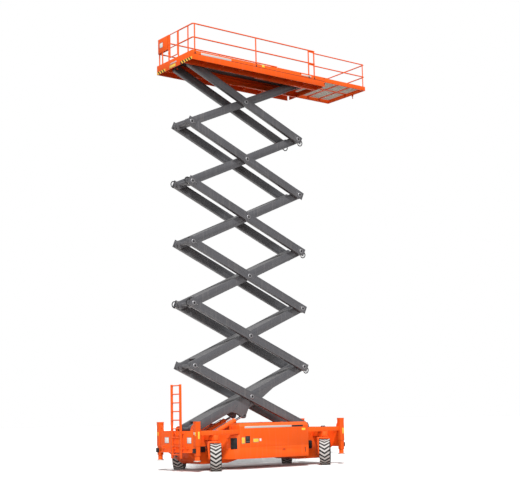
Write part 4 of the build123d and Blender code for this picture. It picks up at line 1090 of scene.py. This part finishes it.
def makeJackTrim():
    f = fitting
    for name, x, y in ((n, sx * f["jackX"], sy * f["jackY"]) for n, sx, sy in (
            ("near_left", -1, -1), ("near_right", 1, -1), ("far_left", -1, 1), ("far_right", 1, 1))):
        bm = bmesh.new()
        foot, z = f["foot"], f["footZ"]
        ring = [(0.030, -0.001), (foot, -0.001), (foot + 0.001, 0.004), (foot + 0.001, z[1] - z[0] - 0.004),
                (foot - 0.006, z[1] - z[0] + 0.001), (f["leg"] + 0.012, z[1] - z[0] + 0.002)]
        addTurned(bm, Matrix.Translation(at(x, y, z[0])), ring, steps=32, closed=False)
        makePiece(camelName(f"jack_foot_{name}"), bm, ["galvanised"], f"jack_leg_{name}")


for side, body in ((-1, "module_cover_near"), (1, "module_cover_far")):
    makeCoverFittings(side, body)
makeChassisFittings()
makeJackTrim()
print("fittings made")


# ---------------------------------------- hoses, slide-out deck and platform trim

hose = {"radius": 0.019, "half": 2.870, "y": 0.460,
        "route": ((0, 0.055), (0.095, 0.055), (0.162, -0.012), (0.162, -0.107), (0.095, -0.174),
                  (0.012, -0.182), (-0.040, -0.130)), "ends": ((2, (1, -1)), (4, (1, -1)), (6, (1,)))}


def makeHoses():
    # slack loops at the arms' ends, on both sides of the stack
    h = hose
    for n, ends in h["ends"]:
        middle = Vector(joints[f"middle_pivot_{n}"]["pos_m"])
        left = Vector(joints["platform_pivot" if n == 6 else f"end_pivot_{n}"]["pos_m"])
        along = Vector((middle.x - left.x, 0, middle.z - left.z)).normalized()
        up = Vector((-along.z, 0, along.x))
        bm = bmesh.new()
        for side in (-1, 1):
            for end in ends:
                route = []
                for out, rise in h["route"]:
                    spot = middle + along * end * (h["half"] + out) + up * rise
                    route.append(Vector((spot.x, side * h["y"], spot.z)))
                addTube(bm, route, h["radius"], bend=0.085, sides=12)
                for spot, ahead in ((route[0], route[1]), (route[-1], route[-2])):
                    way = ahead - spot
                    addPin(bm, spot + way.normalized() * 0.02, way, 0.021, 0.05, sides=12, layer=1)
        makePiece(f"hoseLoops{n}Dressed", bm, ["hoseRubber", "zincBolt"], f"outer_arms_{n}",
                  replaces=[f"hose_loops_{n}"])


def makeTrim():
    # cover sheet of the control panel, outside the end rails
    bm = bmesh.new()
    addBox(bm, at(-3.2915, 0.452, 15.505), at(-3.2865, 1.128, 16.042), 0.002)
    for y in (0.49, 1.09):
        for z in (15.54, 16.00):
            addHex(bm, at(-3.2935, y, z), (-1, 0, 0), 0.020, 0.008, layer=1)
    # bolt heads along the side beams
    for side in (-1, 1):
        for x in (1.780, 2.995):
            addHex(bm, at(x, side * 1.1925, 15.030), (0, side, 0), 0.034, 0.016, layer=2)
        addHex(bm, at(3.000, side * 1.202, 14.812), (0, side, 0), 0.040, 0.014, layer=2)
    makePiece("platformTrim", bm, ["orangePaint", "zincBolt", "blackPlastic"], "platform")
    bm = bmesh.new()
    # lock pin and its bracket under the slide-out deck's end
    addBox(bm, at(5.203, -0.44, 14.835), at(5.237, -0.36, 14.902), 0.006)
    addPin(bm, at(5.220, -0.40, 14.800), (0, 0, 1), 0.015, 0.090, sides=16, layer=1)
    addPin(bm, at(5.220, -0.40, 14.765), (0, 0, 1), 0.024, 0.024, sides=16, edge=0.004)
    makePiece("extensionLock", bm, ["redPaint", "pinSteel"], "extension")


makeHoses()
makeTrim()
print("hoses and trim made")


scene.view_settings.view_transform = "Standard"
